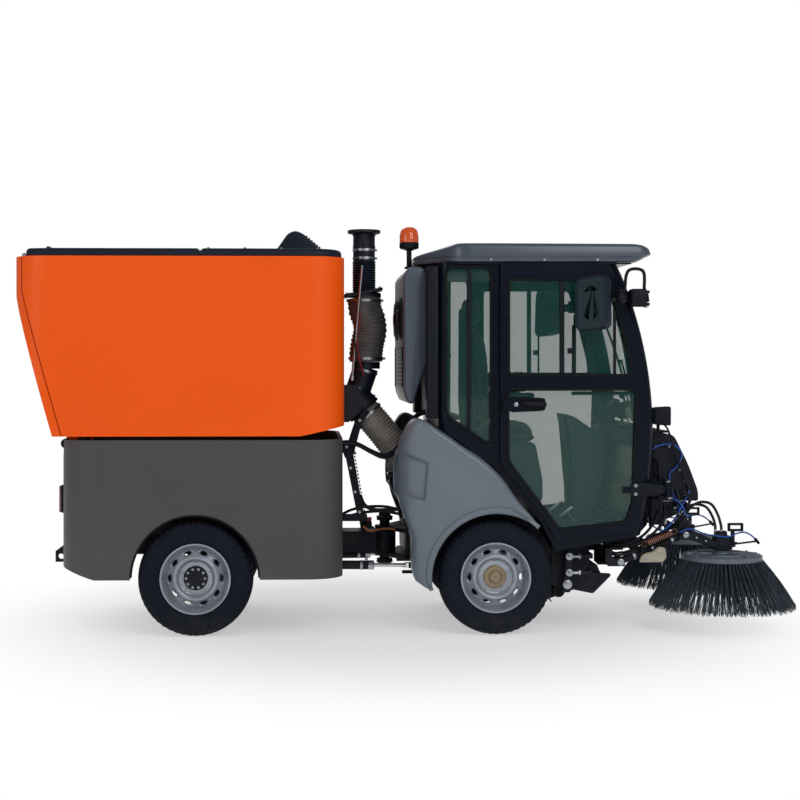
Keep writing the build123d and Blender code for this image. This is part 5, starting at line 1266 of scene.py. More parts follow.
motor = [lathe(mm([(49, 425), (56, 428), (56, 440), (50, 446), (50, 492), (44, 498), (30, 500), (28, 520),
                   (22, 524), (0, 525)]), over_brush, turns=40), soft_box((BRUSH[0] - 0.034, BRUSH[1] - 0.03,
            0.47), (BRUSH[0] + 0.01, BRUSH[1] + 0.03, 0.512), 0.005),]
pair("brush_motor", motor, CHASSIS, "brush_head")
for side_name, side in SIDES.items():
    ports = mirror_y([(BRUSH[0] - 0.03, BRUSH[1] - 0.016, 0.505), (BRUSH[0] - 0.006, BRUSH[1] + 0.016,
                0.505)], side)
    motor_bolts = round_places(4, 0.04, 0.497, start=0.6) + mirror_y(over_brush, side)
    piece(f"motor_fittings_{side_name}", [*[fitting(place, UP, 0.009) for place in ports],
                                          bolts(motor_bolts, UP, 0.006)], ZINC, f"brush_head_{side_name}")
handle = [soft_box(low, high, 0.003) for low, high in (
    ((1.706, 0.444, 0.556), (1.788, 0.466, 0.568)), ((1.706, 0.444, 0.524), (1.788, 0.466, 0.536)),
    ((1.706, 0.444, 0.524), (1.718, 0.466, 0.568)), ((1.776, 0.444, 0.524), (1.788, 0.466, 0.568)),
    ((1.722, 0.446, 0.462), (1.742, 0.464, 0.53)), ((1.69, 0.438, 0.456), (1.758, 0.472, 0.466)))]
pair("brush_handle", handle, CHASSIS, "brush_head")
pins = [lathe(mm([(20, 0), (20, 4), (12, 6), (12, 14), (9, 16), (0, 16)]), (1.48, BRUSH[1] + way * 0.034,
            0.507), (0, way, 0), 20) for way in (-1, 1)]
pins.append(bolts([(x, BRUSH[1] + 0.034, z) for x, z in ((1.535, 0.492), (1.585, 0.474))], LEFT, 0.007))
pair("head_pins", pins, ZINC, "brush_head")
cheek = rounded(mm([(1440, 482), (1500, 480), (1625, 438), (1660, 440), (1660, 466), (1625, 476),
                    (1545, 520), (1500, 536), (1455, 532)]), 0.012)
pair("head_cheeks", [plate(cheek, y, y + 0.006) for y in (BRUSH[1] + 0.033, BRUSH[1] - 0.039)], CHASSIS,
     "brush_head")

# Arm: lift spring, cream valve block, clips and the lines that ride on it.
along = (ARM_HIGH - ARM_LOW) / np.linalg.norm(ARM_HIGH - ARM_LOW)
spring_a, spring_b = np.array((1.266, 0.49, 0.468)), np.array((1.394, 0.49, 0.52))
for side_name, side in SIDES.items():
    ends = mirror_y((spring_a, spring_b), side)
    hooks = [lathe(mm([(14, -3), (17, 0), (14, 3), (11, 0)]), end + way * np.array((0.017, 0, 0.006)), LEFT,
                   24, kind="ring") for end, way in zip(ends, (-1, 1))]
    piece(f"lift_spring_{side_name}", [helix(*ends, 0.0155, 13, 0.0034), *hooks], COPPER,
          f"brush_arm_{side_name}", hard=60)
posts = [
    bar(spring_a + (-0.02, 0.012, -0.006), (1.245, 0.43, 0.492), 0.007, 10),
    bar(spring_a + (-0.02, 0, -0.006), (1.236, 0.49, 0.415), 0.006, 10),
    bar((1.236, 0.49, 0.415), (1.236, 0.43, 0.41), 0.006, 10),
    bar(spring_b + (0.018, 0.01, 0.006), (1.412, 0.43, 0.52), 0.007, 10),
    bar((1.412, 0.43, 0.48), (1.412, 0.43, 0.522), 0.007, 10),
    bar((1.245, 0.43, 0.415), (1.245, 0.43, 0.494), 0.007, 10),
]
pair("spring_posts", posts, CHASSIS, "brush_arm")
valve = rounded(mm([(1225, 362), (1352, 362), (1372, 386), (1366, 440), (1330, 446), (1300, 418),
                    (1262, 412), (1240, 400)]), 0.012)
pair("cream_block", plate(valve, BRUSH[1] + 0.026, BRUSH[1] + 0.052, edge=0.005), CREAM, "brush_arm")
arm_bolts = [
    bolts([(x, BRUSH[1] + 0.052, z) for x, z in ((1.262, 0.388), (1.338, 0.404))], LEFT, 0.008),
    lathe(mm([(18, 0), (18, 5), (11, 7), (11, 13), (0, 14)]), (1.13, BRUSH[1] + 0.034, 0.363), LEFT, 20),
]
pair("arm_bolts", arm_bolts, ZINC, "brush_arm")
for side_name, side in SIDES.items():
    clips = [clip_on(mirror_y(ARM_LOW + (ARM_HIGH - ARM_LOW) * t, side), along, 0.0195)
             for t in (0.22, 0.5, 0.8)]
    piece(f"arm_clips_{side_name}", clips, ZINC, f"brush_arm_{side_name}")

lines = mm([(1150, 436, 400), (1215, 446, 420), (1280, 452, 449), (1350, 450, 478), (1400, 448, 506),
            (1440, 446, 530)])
arm_lines = [hose(lines, 0.0065), hose([(x, y - 0.02, z + 0.008) for x, y, z in lines], 0.0065)]
pair("arm_hoses", arm_lines, HYDRAULIC, "brush_arm")
over = mm([(1440, 446, 530), (1470, 444, 580), (1505, 440, 645), (1560, 438, 678), (1620, 436, 668),
           (1655, 438, 615), (1671, 444, 560), (1674, 446, 532)])
back = mm([(1440, 426, 538), (1462, 424, 590), (1490, 418, 640), (1540, 412, 664), (1600, 410, 650),
           (1634, 412, 600), (1648, 414, 556), (1650, 414, 532)])
for tag, route in (("outer", over), ("inner", back)):
    bending(f"motor_hose_{tag}", hose(route, 0.0075), HYDRAULIC)
water = mm([(1440, 470, 520), (1500, 480, 540), (1580, 486, 512), (1660, 486, 500), (1705, 484, 497),
            (1745, 480, 514), (1790, 474, 520), (1830, 466, 502), (1862, 458, 472)])
bending("water_line", hose(water, 0.0042, 10), WATER)
spray = [
    bar((1.85, 0.461, 0.486), (1.874, 0.454, 0.458), 0.008, 14),
    bar((1.74, 0.43, 0.452), (1.862, 0.452, 0.47), 0.005, 10),
]
pair("spray_jet", spray, TRIM, "brush_head")
lines_low = mm([(1150, 436, 400), (1105, 432, 396), (1070, 418, 420), (1058, 395, 450)])
for k, drop in enumerate((0.0, 0.018)):
    route = [(x, y - drop, z + drop * 0.6) for x, y, z in lines_low]
    bending(f"knuckle_hose_{k}", hose(route, 0.0065), HYDRAULIC)
cap = [
    lathe(mm([(25, 444), (34, 446), (36, 452), (20, 460), (20, 470), (0, 472)]),
          SWING_PIN, turns=28),
    bolts([(1.06, 0.33, 0.47)], UP, 0.01),
]
pair("swing_cap", cap, ZINC, FRONT)

# ------------------------------ under the cab
shield = rounded(mm([(762, 236), (990, 190), (1086, 286), (1080, 298), (975, 303), (968, 436), (766, 470)]),
                 0.01)
shields = [
    plate(shield, 0.412, 0.42),
    soft_box((0.775, 0.25, 0.425), (0.966, 0.418, 0.433), 0.003),
    soft_box((0.85, 0.418, 0.3), (0.874, 0.476, 0.425), 0.004),
    plate(rounded(mm([(818, 205), (858, 205), (866, 250), (874, 430), (838, 430), (820, 250)]),
                  0.01), 0.468, 0.478),
]
pair("side_shield", shields, CHASSIS, FRONT)
links, ends = [], []
for z in (0.398, 0.312):
    links.append(bar((0.905, 0.492, z), (0.972, 0.492, z + 0.003), 0.011, 14))
    links.append(soft_box((0.958, 0.419, z - 0.012), (0.974, 0.5, z + 0.016), 0.003))
    ends.append(lathe(mm([(10, -8), (19, -6), (19, 6), (10, 8)]), (0.85, 0.49, z), LEFT, 24, kind="ring"))
    ends.append(bar((0.866, 0.491, z), (0.912, 0.492, z), 0.008, 14))
    ends.append(laid(hex_bolt(0.01), (0.85, 0.497, z), LEFT))
    ends.append(lathe(mm([(13, 0), (13, 10), (0, 10)]), (0.9, 0.491, z), AHEAD, 6))
ends.append(lathe(mm([(24, 0), (24, 6), (14, 9), (14, 16), (0, 17)]), (0.842, 0.478, 0.248), LEFT, 24))
pair("tie_links", links, CHASSIS, FRONT)
pair("tie_ends", ends, ZINC, FRONT)

# Skirts and rollers of the suction nozzle, in the frame of its turned-up arms.
NOZZLE = (0.3, 0.44)
NOZZLE_TURN = math.radians(20)
NOZZLE_HALF = 0.39


def nozzle_at(x, y, z):
    """Point of the nozzle's own frame, which is turned about the arms' pivot by the tilt."""
    c, s = math.cos(NOZZLE_TURN), math.sin(NOZZLE_TURN)
    return (NOZZLE[0] + x * c - z * s, y, NOZZLE[1] + x * s + z * c)


def skirt(x, z_high, z_low, y_half, fold):
    """Rubber flap across the nozzle: a sheet whose x swings by fold times sin(14 y) and grows downwards."""
    y = np.linspace(-y_half, y_half, 41)
    down = np.linspace(0, 1, 6)
    points = [[nozzle_at(x + 0.012 * t * t + fold * t * math.sin(14 * v), v, z_high + (z_low - z_high) * t)
               for v in y] for t in down]
    return grid(np.array(points))


skirts = join(*[skirt(x, -0.345, -0.44, NOZZLE_HALF - 0.004, 0.002) for x in (0.33, 0.64)])
piece("nozzle_skirts", skirts, RUBBER, "nozzle", solid=0.005)
rollers = []
for side in SIDES.values():
    for x in (0.395, 0.585):
        hub = nozzle_at(x, side * (NOZZLE_HALF + 0.012), -0.395)
        rollers.append(lathe(mm([(10, -13), (30, -13), (34, -8), (34, 8), (30, 13), (10, 13)]), hub, LEFT,
                             32, kind="ring"))
        rollers.append(laid(hex_bolt(0.009), np.array(hub) + (0, side * 0.01, 0), (0, side, 0)))
piece("nozzle_rollers", rollers, RUBBER, "nozzle")
edge_bolts = [nozzle_at(0.375, y, -0.3095) for y in np.linspace(-0.34, 0.34, 9)]
up = (-math.sin(NOZZLE_TURN), 0, math.cos(NOZZLE_TURN))
piece("nozzle_bolts", bolts(edge_bolts, up, 0.007), ZINC, "nozzle")

# ------------------------------ front equipment box
# X and z.
BOX_LINE = mm([(1294, 683), (1294, 1040), (1330, 1049), (1425, 1039), (1505, 879), (1558, 735),
               (1558, 683)])
box_levels = mm([(10, -420), (2, -417), (0, -410), (0, 410), (2, 417), (10, 420)])
box = stack(rounded(BOX_LINE, [0.01, 0.012, 0.02, 0.03, 0.05, 0.03, 0.012], steps=5), box_levels, "side")
ribs = []
for y in np.linspace(-0.3, 0.3, 5):
    ribs.append(bar((1.442, y, 1.012), (1.513, y, 0.868), 0.006, 8))
    ribs.append(bar((1.516, y, 0.862), (1.56, y, 0.742), 0.006, 8))
lid = plate(rounded(mm([(1310, -380), (1416, -380), (1416, 380), (1310, 380)]), 0.02), 1.0465, 1.056, "top")
grille_bars = [soft_box((1.33, y, 1.055), (1.4, y + 0.008, 1.061), 0.002) for y in np.arange(-0.09, 0.1,
        0.018)]
side_covers = []
for side in SIDES.values():
    panel = rounded(mm([(1312, 702), (1312, 990), (1408, 990), (1470, 862), (1500, 775), (1500, 702)]),
                    0.018)
    side_covers.append(plate(panel, side * 0.419, side * 0.427, edge=0.003))
    for x in np.arange(1.33, 1.42, 0.018):
        side_covers.append(soft_box((x, side * 0.426, 0.73), (x + 0.008, side * 0.43, 0.8), 0.002))
piece("equipment_box", [box, lid, *grille_bars, *ribs, *side_covers], CHASSIS, FRONT,
      ("front_box",), hard=32)
box_fixings = [(x, side * 0.427, z) for side in (-1, 1) for x, z in ((1.326, 0.975), (1.398, 0.975),
        (1.326, 0.717), (1.484, 0.717), (1.455, 0.85), (1.484, 0.79))]
piece("box_bolts", [laid(hex_bolt(0.006), p, (0, np.sign(p[1]), 0)) for p in box_fixings], ZINC,
      FRONT)
block = [soft_box((1.3, 0.3, 0.6), (1.4, 0.402, 0.672), 0.005), soft_box((1.415, 0.33, 0.618),
        (1.475, 0.396, 0.676), 0.005), soft_box((1.292, 0.424, 0.56), (1.336, 0.46, 0.7), 0.005),
         bar((1.345, 0.448, 0.56), (1.345, 0.448, 0.72), 0.015, 16), bar((1.372, 0.444, 0.59),
        (1.372, 0.444, 0.66), 0.012, 16),
         plate(rounded(mm([(1292, 540), (1420, 600), (1500, 640), (1500, 682), (1292, 682)]), 0.012), 0.404,
               0.41),]
pair("valve_block", block, CHASSIS, FRONT)
joints = [fitting(place, way, 0.01) for place, way in (
    ((1.32, 0.4, 0.64), LEFT), ((1.35, 0.4, 0.625), LEFT), ((1.38, 0.4, 0.645), LEFT),
    ((1.43, 0.396, 0.65), LEFT), ((1.46, 0.396, 0.64), LEFT), ((1.345, 0.448, 0.718), UP),
    ((1.372, 0.444, 0.592), (0, 0, -1)), ((1.345, 0.448, 0.562), (0, 0, -1)))]
pair("valve_fittings", joints, ZINC, FRONT)
blue = [mm([(1300, 440, 960), (1352, 448, 986), (1418, 452, 984), (1462, 446, 936), (1436, 440, 872),
            (1398, 438, 830), (1402, 440, 772), (1425, 436, 700), (1452, 420, 640)]),
        mm([(1296, 446, 560), (1350, 470, 530), (1410, 470, 585), (1452, 462, 650), (1482, 450, 700),
            (1505, 438, 742), (1492, 432, 700)]), mm([(1405, 448, 700), (1432, 462, 690), (1462, 462, 655),
            (1480, 452, 612), (1508, 440, 606)]),]
pair("water_hoses", [hose(route, 0.0045, 10) for route in blue], WATER, FRONT)
black = [mm([(1345, 448, 750), (1342, 452, 830), (1330, 452, 900), (1300, 446, 930)]),
         mm([(1320, 430, 640), (1326, 476, 622), (1300, 486, 570), (1240, 470, 500), (1150, 420, 452),
             (1070, 360, 462)]), mm([(1350, 430, 625), (1362, 472, 600), (1330, 480, 548), (1260, 462, 482),
                                     (1160, 410, 438), (1072, 348, 440)]),
         mm([(1380, 430, 645), (1410, 470, 640), (1440, 470, 600), (1425, 440, 560), (1380, 400, 520),
             (1300, 340, 470)]), mm([(1430, 420, 650), (1440, 460, 700), (1420, 466, 760), (1380, 456, 800),
                                     (1320, 440, 840)]),
         mm([(1460, 420, 640), (1490, 450, 660), (1500, 452, 700), (1470, 448, 735), (1420, 430, 720)]),
         mm([(1372, 444, 560), (1370, 440, 520), (1340, 410, 486), (1270, 330, 462)]),]
pair("front_hoses", [hose(route, 0.0075) for route in black], HYDRAULIC, FRONT)
cable = mm([(1340, 480, 1110), (1372, 488, 1075), (1402, 482, 1000), (1440, 462, 900), (1486, 444, 790),
            (1512, 432, 700), (1500, 416, 650)])
pair("lamp_cable", hose(cable, 0.0055, 10), HYDRAULIC, FRONT)

# ------------------------------ hopper covers
COVER_X = (-1.99, -1.094, -1.086, -0.355)  # rear lid from and to, front cover from and to
COVER_HALF = 0.606
COVER_Z = (1.9753, 2.017)


def clipped(outline, low, high):
    """Part of a convex outline between two first coordinates: each edge that crosses a limit gets a point
    on it."""
    for limit, sign in ((low, 1), (high, -1)):
        kept = []
        for a, b in zip(outline, np.roll(outline, -1, axis=0)):
            inside_a, inside_b = sign * (a[0] - limit) >= 0, sign * (b[0] - limit) >= 0
            if inside_a:
                kept.append(a)
            if inside_a != inside_b:
                kept.append(a + (b - a) * (limit - a[0]) / (b[0] - a[0]))
        outline = np.array(kept)
    return outline


hopper_plan = rounded([(-2.048, -COVER_HALF), (-0.355, -COVER_HALF), (-0.355, COVER_HALF),
                       (-2.048, COVER_HALF)], 0.19, steps=14)
cover_levels = [(0.004, COVER_Z[0]), (0, 1.979), (0, 1.998), (0.003, 2.006), (0.009, 2.0125), (0.018, 2.016),
                (0.03, COVER_Z[1])]
rear_outline = clipped(hopper_plan, COVER_X[0], COVER_X[1])
front_outline = clipped(hopper_plan, COVER_X[2], COVER_X[3])


def pad(x, y, rise=0.007, radius=0.05):
    """Pressed raised field on a cover's top, between two x and two y."""
    outline = rounded([(x[0], y[0]), (x[1], y[0]), (x[1], y[1]), (x[0], y[1])], radius, steps=7)
    return stack(outline, [(0, COVER_Z[1] - 0.001), (0.003, COVER_Z[1] + rise * 0.6),
                           (0.01, COVER_Z[1] + rise)])


lid_fields = [pad((-1.93, -1.56), y) for y in ((-0.5, -0.18), (-0.14, 0.14), (0.18, 0.5))]
lid_fields += [pad((-1.52, -1.15), y) for y in ((-0.5, -0.18), (-0.14, 0.14), (0.18, 0.5))]
lid_grab = mm([(-1958, -100, 2016), (-1958, -100, 2046), (-1958, -85, 2056), (-1958, 85, 2056),
               (-1958, 100, 2046), (-1958, 100, 2016)])
lid_knuckles = [soft_box((-1.128, side * 0.24, 2.0155), (-1.092, side * 0.3, 2.029), 0.002)
                for side in SIDES.values()]
lid_barrels = [bar((-1.09, side * 0.24, 2.026), (-1.09, side * 0.3, 2.026), 0.0085, 18)
               for side in SIDES.values()]
piece("rear_lid_cover", [stack(rear_outline, cover_levels), *lid_fields, tube(smooth_path(lid_grab, 4),
            0.008, 12), *lid_knuckles, *lid_barrels], COVER, "hopper_lid", ("rear_lid",), hard=30)
cover_fields = [pad((-1.04, -0.78), (-0.5, -0.12)), pad((-1.04, -0.78), (-0.06, 0.5)),
                pad((-0.72, -0.42), (0.0, 0.5))]
cover_leaves = []
for side in SIDES.values():
    cover_leaves.append(soft_box((-1.088, side * 0.301, 2.0155), (-1.05, side * 0.322, 2.029), 0.002))
    cover_leaves.append(bar((-1.09, side * 0.301, 2.026), (-1.09, side * 0.322, 2.026), 0.0085, 18))
HOOD = mm([(-712, 2015), (-640, 2118), (-600, 2134), (-560, 2118), (-438, 2015)])  # x and z
hood_shape = stack(rounded(HOOD, [0.012, 0.03, 0.035, 0.03, 0.012], steps=7),
                   mm([(12, -332), (3, -328), (0, -318), (0, -72), (3, -62), (12, -58)]), "side")
hood_slats = []
for t in np.linspace(0.16, 0.84, 7):
    foot = np.array((-0.438, 0, 2.015)) + t * np.array((-0.122, 0, 0.103))
    hood_slats.append(laid(soft_box((-0.004, -0.1, -0.002), (0.004, 0.1, 0.007), 0.002),
                           foot + (0, -0.195, 0), (0.645, 0, 0.764), LEFT))
front_parts = [stack(front_outline, cover_levels), *cover_fields, *cover_leaves, hood_shape, *hood_slats]
piece("front_cover_shell", front_parts, COVER, "hopper", ("front_cover",), hard=30)
cover_bolts = [(x, side * 0.57, 2.0168) for x in (-1.05, -0.86, -0.67, -0.48) for side in (-1, 1)]
cover_bolts += [(x, y, 2.0168) for x in (-0.735, -0.415) for y in (-0.3, -0.09)]
cover_bolts += [(-1.066, side * 0.312, 2.0285) for side in (-1, 1)]
piece("cover_bolts", bolts(cover_bolts, UP, 0.007), ZINC, "hopper")

# Sleeves and nuts of the tailgate's hinge under the covers.
gate_nuts = [laid(hex_bolt(0.011), (-2.04, side * 0.345, 1.994), (0, side, 0)) for side in SIDES.values()]
piece("gate_hinge_nuts", gate_nuts, ZINC, "tailgate")
latches = []
for side in SIDES.values():
    latches.append(soft_box((-1.856, side * 0.38, 1.07), (-1.845, side * 0.44, 1.12), 0.002))
    latches.append(lathe(mm([(26, 0), (26, 6), (12, 10), (12, 20), (0, 21)]), (-1.868, side * 0.41, 1.105),
                         (-1, 0, -0.28), 24))
gate_ribs = []
for y in (-0.36, -0.12, 0.12, 0.36):
    low, high = np.array((-1.872, y, 1.12)), np.array((-2.042, y, 1.72))
    out = np.array((-0.962, 0, -0.272))
    gate_ribs.append(bar(low + out * 0.002, high + out * 0.002, 0.013, 16, lip=0.8))
piece("gate_ribs", gate_ribs, ORANGE, "tailgate")
piece("gate_latches", latches, ZINC, "tailgate")

# ------------------------------ rear body
TAIL = -1.817
louvres = [soft_box((TAIL - 0.014, -0.3, z), (TAIL - 0.002, 0.3, z + 0.01), 0.003) for z in np.arange(0.575,
        0.935, 0.024)]
frame_bars = [soft_box((TAIL - 0.018, -0.325, z), (TAIL + 0.001, 0.325, z + 0.022), 0.005)
              for z in (0.545, 0.94)]
frame_bars += [soft_box((TAIL - 0.018, y, 0.545), (TAIL + 0.001, y + 0.022, 0.962), 0.005)
               for y in (-0.325, 0.303, -0.011)]
piece("rear_grille", [*louvres, *frame_bars], TRIM, REAR)
centre = (TAIL - 0.0005, 0.409, 0.705)
outline = rounded(mm([(-29, -73), (29, -73), (29, 73), (-29, 73)]), 0.008, steps=5)
base = laid(stack(outline, mm([(1, 0), (0, 2), (0, 12), (2, 14), (4, 14)])), centre, (-1, 0, 0))
cover = laid(stack(outline, mm([(3, 12), (3, 20), (5, 24), (10, 26)])), centre, (-1, 0, 0))
pair("tail_lamp_base", base, TRIM, REAR, "tail_lamps")
pair("tail_lens", cover, RED_LENS, REAR)
arch = []
sweep = np.radians(np.linspace(2, 178, 60))
for r, y in ((0.3365, 0.6185), (0.3365, 0.6225), (0.33, 0.6235), (0.327, 0.6215), (0.327, 0.585),
             (0.331, 0.583)):
    arch.append(np.stack([-1.117 + r * np.cos(sweep), y + 0 * sweep, 0.3 + r * np.sin(sweep)], axis=-1))
lip = grid(np.array(arch), wrap_rows=True)
pair("arch_lip", lip, RUBBER, REAR)
piece("blank_plate", soft_box((TAIL - 0.012, -0.15, 0.39), (TAIL - 0.001, 0.15, 0.5), 0.004), TRIM, REAR)
plate_screws = [(TAIL - 0.012, y, 0.445) for y in (-0.135, 0.135)]
piece("plate_screws", bolts(plate_screws, (-1, 0, 0), 0.005), ZINC, REAR)

# ------------------------------ between the bodies
collar_row = []
for side in SIDES.values():
    edge_points = mm([(-330, 900), (-285, 900), (-236, 1090), (-192, 1150), (-220, 1175), (-262, 1110)])
    collar_row.append(plate(edge_points, side * 0.1165, side * 0.1195))
steel = join(
    bolts(mm([(-300, -119.5, 925), (-272, -119.5, 925), (-246, -119.5, 1105)]), (0, -1, 0), 0.007),
    bolts(mm([(-300, 119.5, 925), (-272, 119.5, 925), (-246, 119.5, 1105)]), LEFT, 0.007),
)
piece("collar_cheeks", collar_row, CHASSIS, REAR)
piece("collar_bolts", steel, ZINC, REAR)
STRIP = mm([(-345, 998), (-298, 998), (-222, 570), (-258, 560)])  # x and z
strip = plate(rounded(STRIP, 0.006), -0.214, -0.206)
teeth = []
for k in range(22):
    t = (k + 0.5) / 22
    x, z = -0.298 + 0.076 * t, 0.998 - 0.428 * t
    teeth.append(bar((x + 0.002, -0.21, z), (x + 0.009, -0.21, z + 0.001), 0.0065, 10))
foot = join(soft_box((-0.345, -0.216, 0.56), (-0.21, -0.206, 0.6), 0.003),
            soft_box((-0.35, -0.212, 0.93), (-0.33, -0.208, 1.0), 0.003))
piece("chain_guide", [strip, *teeth, foot], CHASSIS, REAR)
piece("chain_guide_bolts", bolts(mm([(-322, -214, 965), (-300, -214, 850), (-276, -214, 720),
                                     (-252, -214, 610)]), (0, -1, 0), 0.007), ZINC, REAR)
king = join(
    lathe(mm([(46, 560.5), (46, 566), (34, 570), (30, 592), (14, 596), (0, 597)]), (KINGPIN_X, 0, 0),
          turns=32),
    lathe(mm([(0, 300), (24, 301), (36, 306), (46, 312), (46, 317.5), (0, 317.5)]), (KINGPIN_X, 0, 0),
          turns=32),
)
piece("kingpin_caps", king, CHASSIS, FRONT)
king_bolts = round_places(6, 0.038, 0.566) + (KINGPIN_X, 0, 0)
nipples = [lathe(mm([(5, 0), (5, 8), (3, 10), (4, 14), (0, 16)]), (-0.104, 0, 0.596), turns=12)]
piece("kingpin_bolts", [bolts(king_bolts, UP, 0.005), *nipples], ZINC, FRONT)
switch = join(
    soft_box((-0.236, -0.16, 0.512), (-0.168, -0.1, 0.522), 0.003),
    lathe(mm([(22, 520), (22, 546), (16, 552), (0, 553)]), (-0.202, -0.128, 0), turns=28),
)
piece("isolator_base", switch, TRIM, REAR)
key = join(soft_box((-0.222, -0.134, 0.552), (-0.182, -0.122, 0.574), 0.004),
           lathe(mm([(13, 550), (13, 562), (0, 563)]), (-0.202, -0.128, 0), turns=24))
piece("isolator_key", key, RED_CABLE, REAR)


def crossing(name, route, radius, material):
    """Line across the steering joint, on no body: a tube along a spline, its transform baked into its points."""
    made = piece(name, hose(route, radius), material, None)
    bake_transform(made)


crossing("rust_cable", mm([(-230, -180, 530), (-190, -170, 502), (-140, -150, 508), (-90, -140, 512),
                           (-40, -150, 508), (10, -165, 520)]), 0.006, RUST_CABLE)
crossing("brake_hose", mm([(-250, -195, 700), (-222, -190, 645), (-170, -186, 620), (-105, -184, 618),
                           (-45, -184, 622), (15, -186, 640)]), 0.011, HYDRAULIC)
crossing("steer_hose_high", mm([(-345, -140, 560), (-290, -132, 585), (-215, -120, 600), (-120, -112, 604),
                                (-30, -122, 590), (20, -130, 580)]), 0.008, HYDRAULIC)
crossing("steer_hose_left", mm([(-345, 150, 560), (-280, 145, 590), (-200, 140, 606), (-105, 136, 608),
                                (-30, 142, 594), (20, 150, 580)]), 0.008, HYDRAULIC)
red_run = mm([(-225, -118, 1350), (-250, -126, 1450), (-262, -120, 1560), (-246, -112, 1660),
              (-252, -108, 1720)])
piece("red_wire", hose(red_run, 0.004, 10), RED_CABLE, "hopper")
black_run = [(x - 0.012, y - 0.004, z) for x, y, z in red_run]
piece("black_wire", hose(black_run, 0.004, 10), HYDRAULIC, "hopper")
gland = lathe(mm([(24.5, 0), (25.5, 3), (25.5, 26), (22, 30), (12.5, 31)]), turns=32, kind="skin")
for side_name, side in SIDES.items():
    eye, rod_eye = mirror_y([(-0.64, 0.215, 0.326), (0.012, 0.262, 0.326)], side)
    along = (rod_eye - eye) / np.linalg.norm(rod_eye - eye)
    fittings = [laid(gland, eye + along * 0.437, along), *[clip_on(eye + along * t, along, 0.0243)
            for t in (0.11, 0.4)], *[fitting(eye + along * t + (0, 0, 0.02), UP, 0.009)
                                     for t in (0.13, 0.425)]]
    piece(f"cylinder_fittings_{side_name}", fittings, ZINC, f"steer_barrel_{side_name}")

# ------------------------------ inside the cab
SEAT_Y = -0.24
FLOOR_Z = 0.5603


def cushion(half_x, half_y, height, crown, dip=0.0, steps=28):
    """Upholstered pad on z = 0, seen as two sheets: the outline is the superellipse |x/a|^4 + |y/b|^4 = 1.
    With s the fourth root of that sum, the top is at height + crown (1 - s^2), less a dip of
    exp(-(y/0.3b)^2) down the middle, and both sheets meet in a seam where s is 1. Stitched flutes run
    across, as sin^2 of x."""
    ring = np.linspace(0, 1, 15) ** 0.7
    angle = TURN * np.arange(2 * steps) / (2 * steps)
    c, s = np.cos(angle), np.sin(angle)
    reach = (np.abs(c) ** 4 + np.abs(s) ** 4) ** -0.25
    x = half_x * ring[:, None] * (reach * c)
    y = half_y * ring[:, None] * (reach * s)
    edge = np.sqrt(np.clip(1 - ring[:, None] ** 6, 0, 1))
    flutes = 0.004 * np.abs(np.sin(x * math.pi / 0.06)) ** 0.6 * (np.abs(y) < 0.62 * half_y)
    top = edge * (height + crown * (1 - ring[:, None] ** 2) - dip * np.exp(-((y / (0.5 * half_y)) ** 2))
                  + flutes)
    above = np.stack([x, y, np.maximum(top, 0.35 * height * edge)], axis=-1)
    below = np.stack([x, y, -0.3 * height * edge + 0 * x], axis=-1)
    return join(grid(above, wrap_cols=True), grid(below, wrap_cols=True))


def seam_piping(half_x, half_y, radius=0.005):
    """Piping sewn round a cushion's outline."""
    angle = TURN * np.arange(72) / 72
    c, s = np.cos(angle), np.sin(angle)
    reach = (np.abs(c) ** 4 + np.abs(s) ** 4) ** -0.25
    return tube(np.stack([half_x * reach * c, half_y * reach * s, 0 * angle], axis=-1), radius, 8,
                loop=True)


seat_turn = ((0.535, SEAT_Y, 1.015), (-0.05, 0, 0.999), (0.999, 0, 0.05))
back_turn = ((0.352, SEAT_Y, 1.365), (0.997, 0, 0.07), (-0.07, 0, 0.997))
head_turn = ((0.33, SEAT_Y, 1.692), (0.997, 0, 0.07), (-0.07, 0, 0.997))
seat_sizes = {"seat_cushion": (0.235, 0.145, 0.08, 0.018, 0.012, seat_turn),
              "seat_back": (0.235, 0.255, 0.07, 0.02, 0.022, back_turn),
              "seat_headrest": (0.125, 0.068, 0.055, 0.015, 0.0, head_turn)}
for name, (half_side, half_long, height, crown, dip, (place, axis, up)) in seat_sizes.items():
    turned = cushion(half_long, half_side, height, crown, dip)
    shape = laid((turned[0][:, [1, 0, 2]], turned[1]), place, axis, up)
    pad_piece = piece(name, shape, CLOTH, FRONT,
                      ("driver_seat",) if name == "seat_cushion" else (), hard=70)
    piping = seam_piping(half_long, half_side)
    piece(f"{name}_piping", laid((piping[0][:, [1, 0, 2]], piping[1]), place, axis, up), RUBBER, FRONT,
          slot="seat_cloth")
shell_line = rounded(mm([(318, 1030), (350, 1030), (336, 1640), (316, 1730), (306, 1700), (304, 1200)]),
                     0.02)
base_line = rounded(mm([(500, 861), (680, 652), (712, 700), (712, 800), (676, 985), (660, 1000), (400, 1000),
                        (400, 975), (500, 975)]), 0.02)
seat_frame = join(
    plate(shell_line, SEAT_Y - 0.205, SEAT_Y + 0.205, edge=0.012),
    plate(base_line, SEAT_Y - 0.232, SEAT_Y + 0.232, edge=0.01),
    soft_box((0.33, SEAT_Y - 0.18, 1.014), (0.44, SEAT_Y + 0.18, 1.06), 0.012),
    bar((0.33, SEAT_Y - 0.06, 1.6), (0.326, SEAT_Y - 0.06, 1.68), 0.007, 12),
    bar((0.33, SEAT_Y + 0.06, 1.6), (0.326, SEAT_Y + 0.06, 1.68), 0.007, 12),
)
piece("seat_frame", seat_frame, CABIN, FRONT, hard=32)
armrests, stalks = [], []
for y in (SEAT_Y - 0.268, SEAT_Y + 0.27):
    armrests.append(soft_box((0.4, y - 0.026, 1.225), (0.66, y + 0.026, 1.265), 0.014))
    armrests.append(soft_box((0.38, y - 0.018, 1.12), (0.425, y + 0.018, 1.232), 0.01))
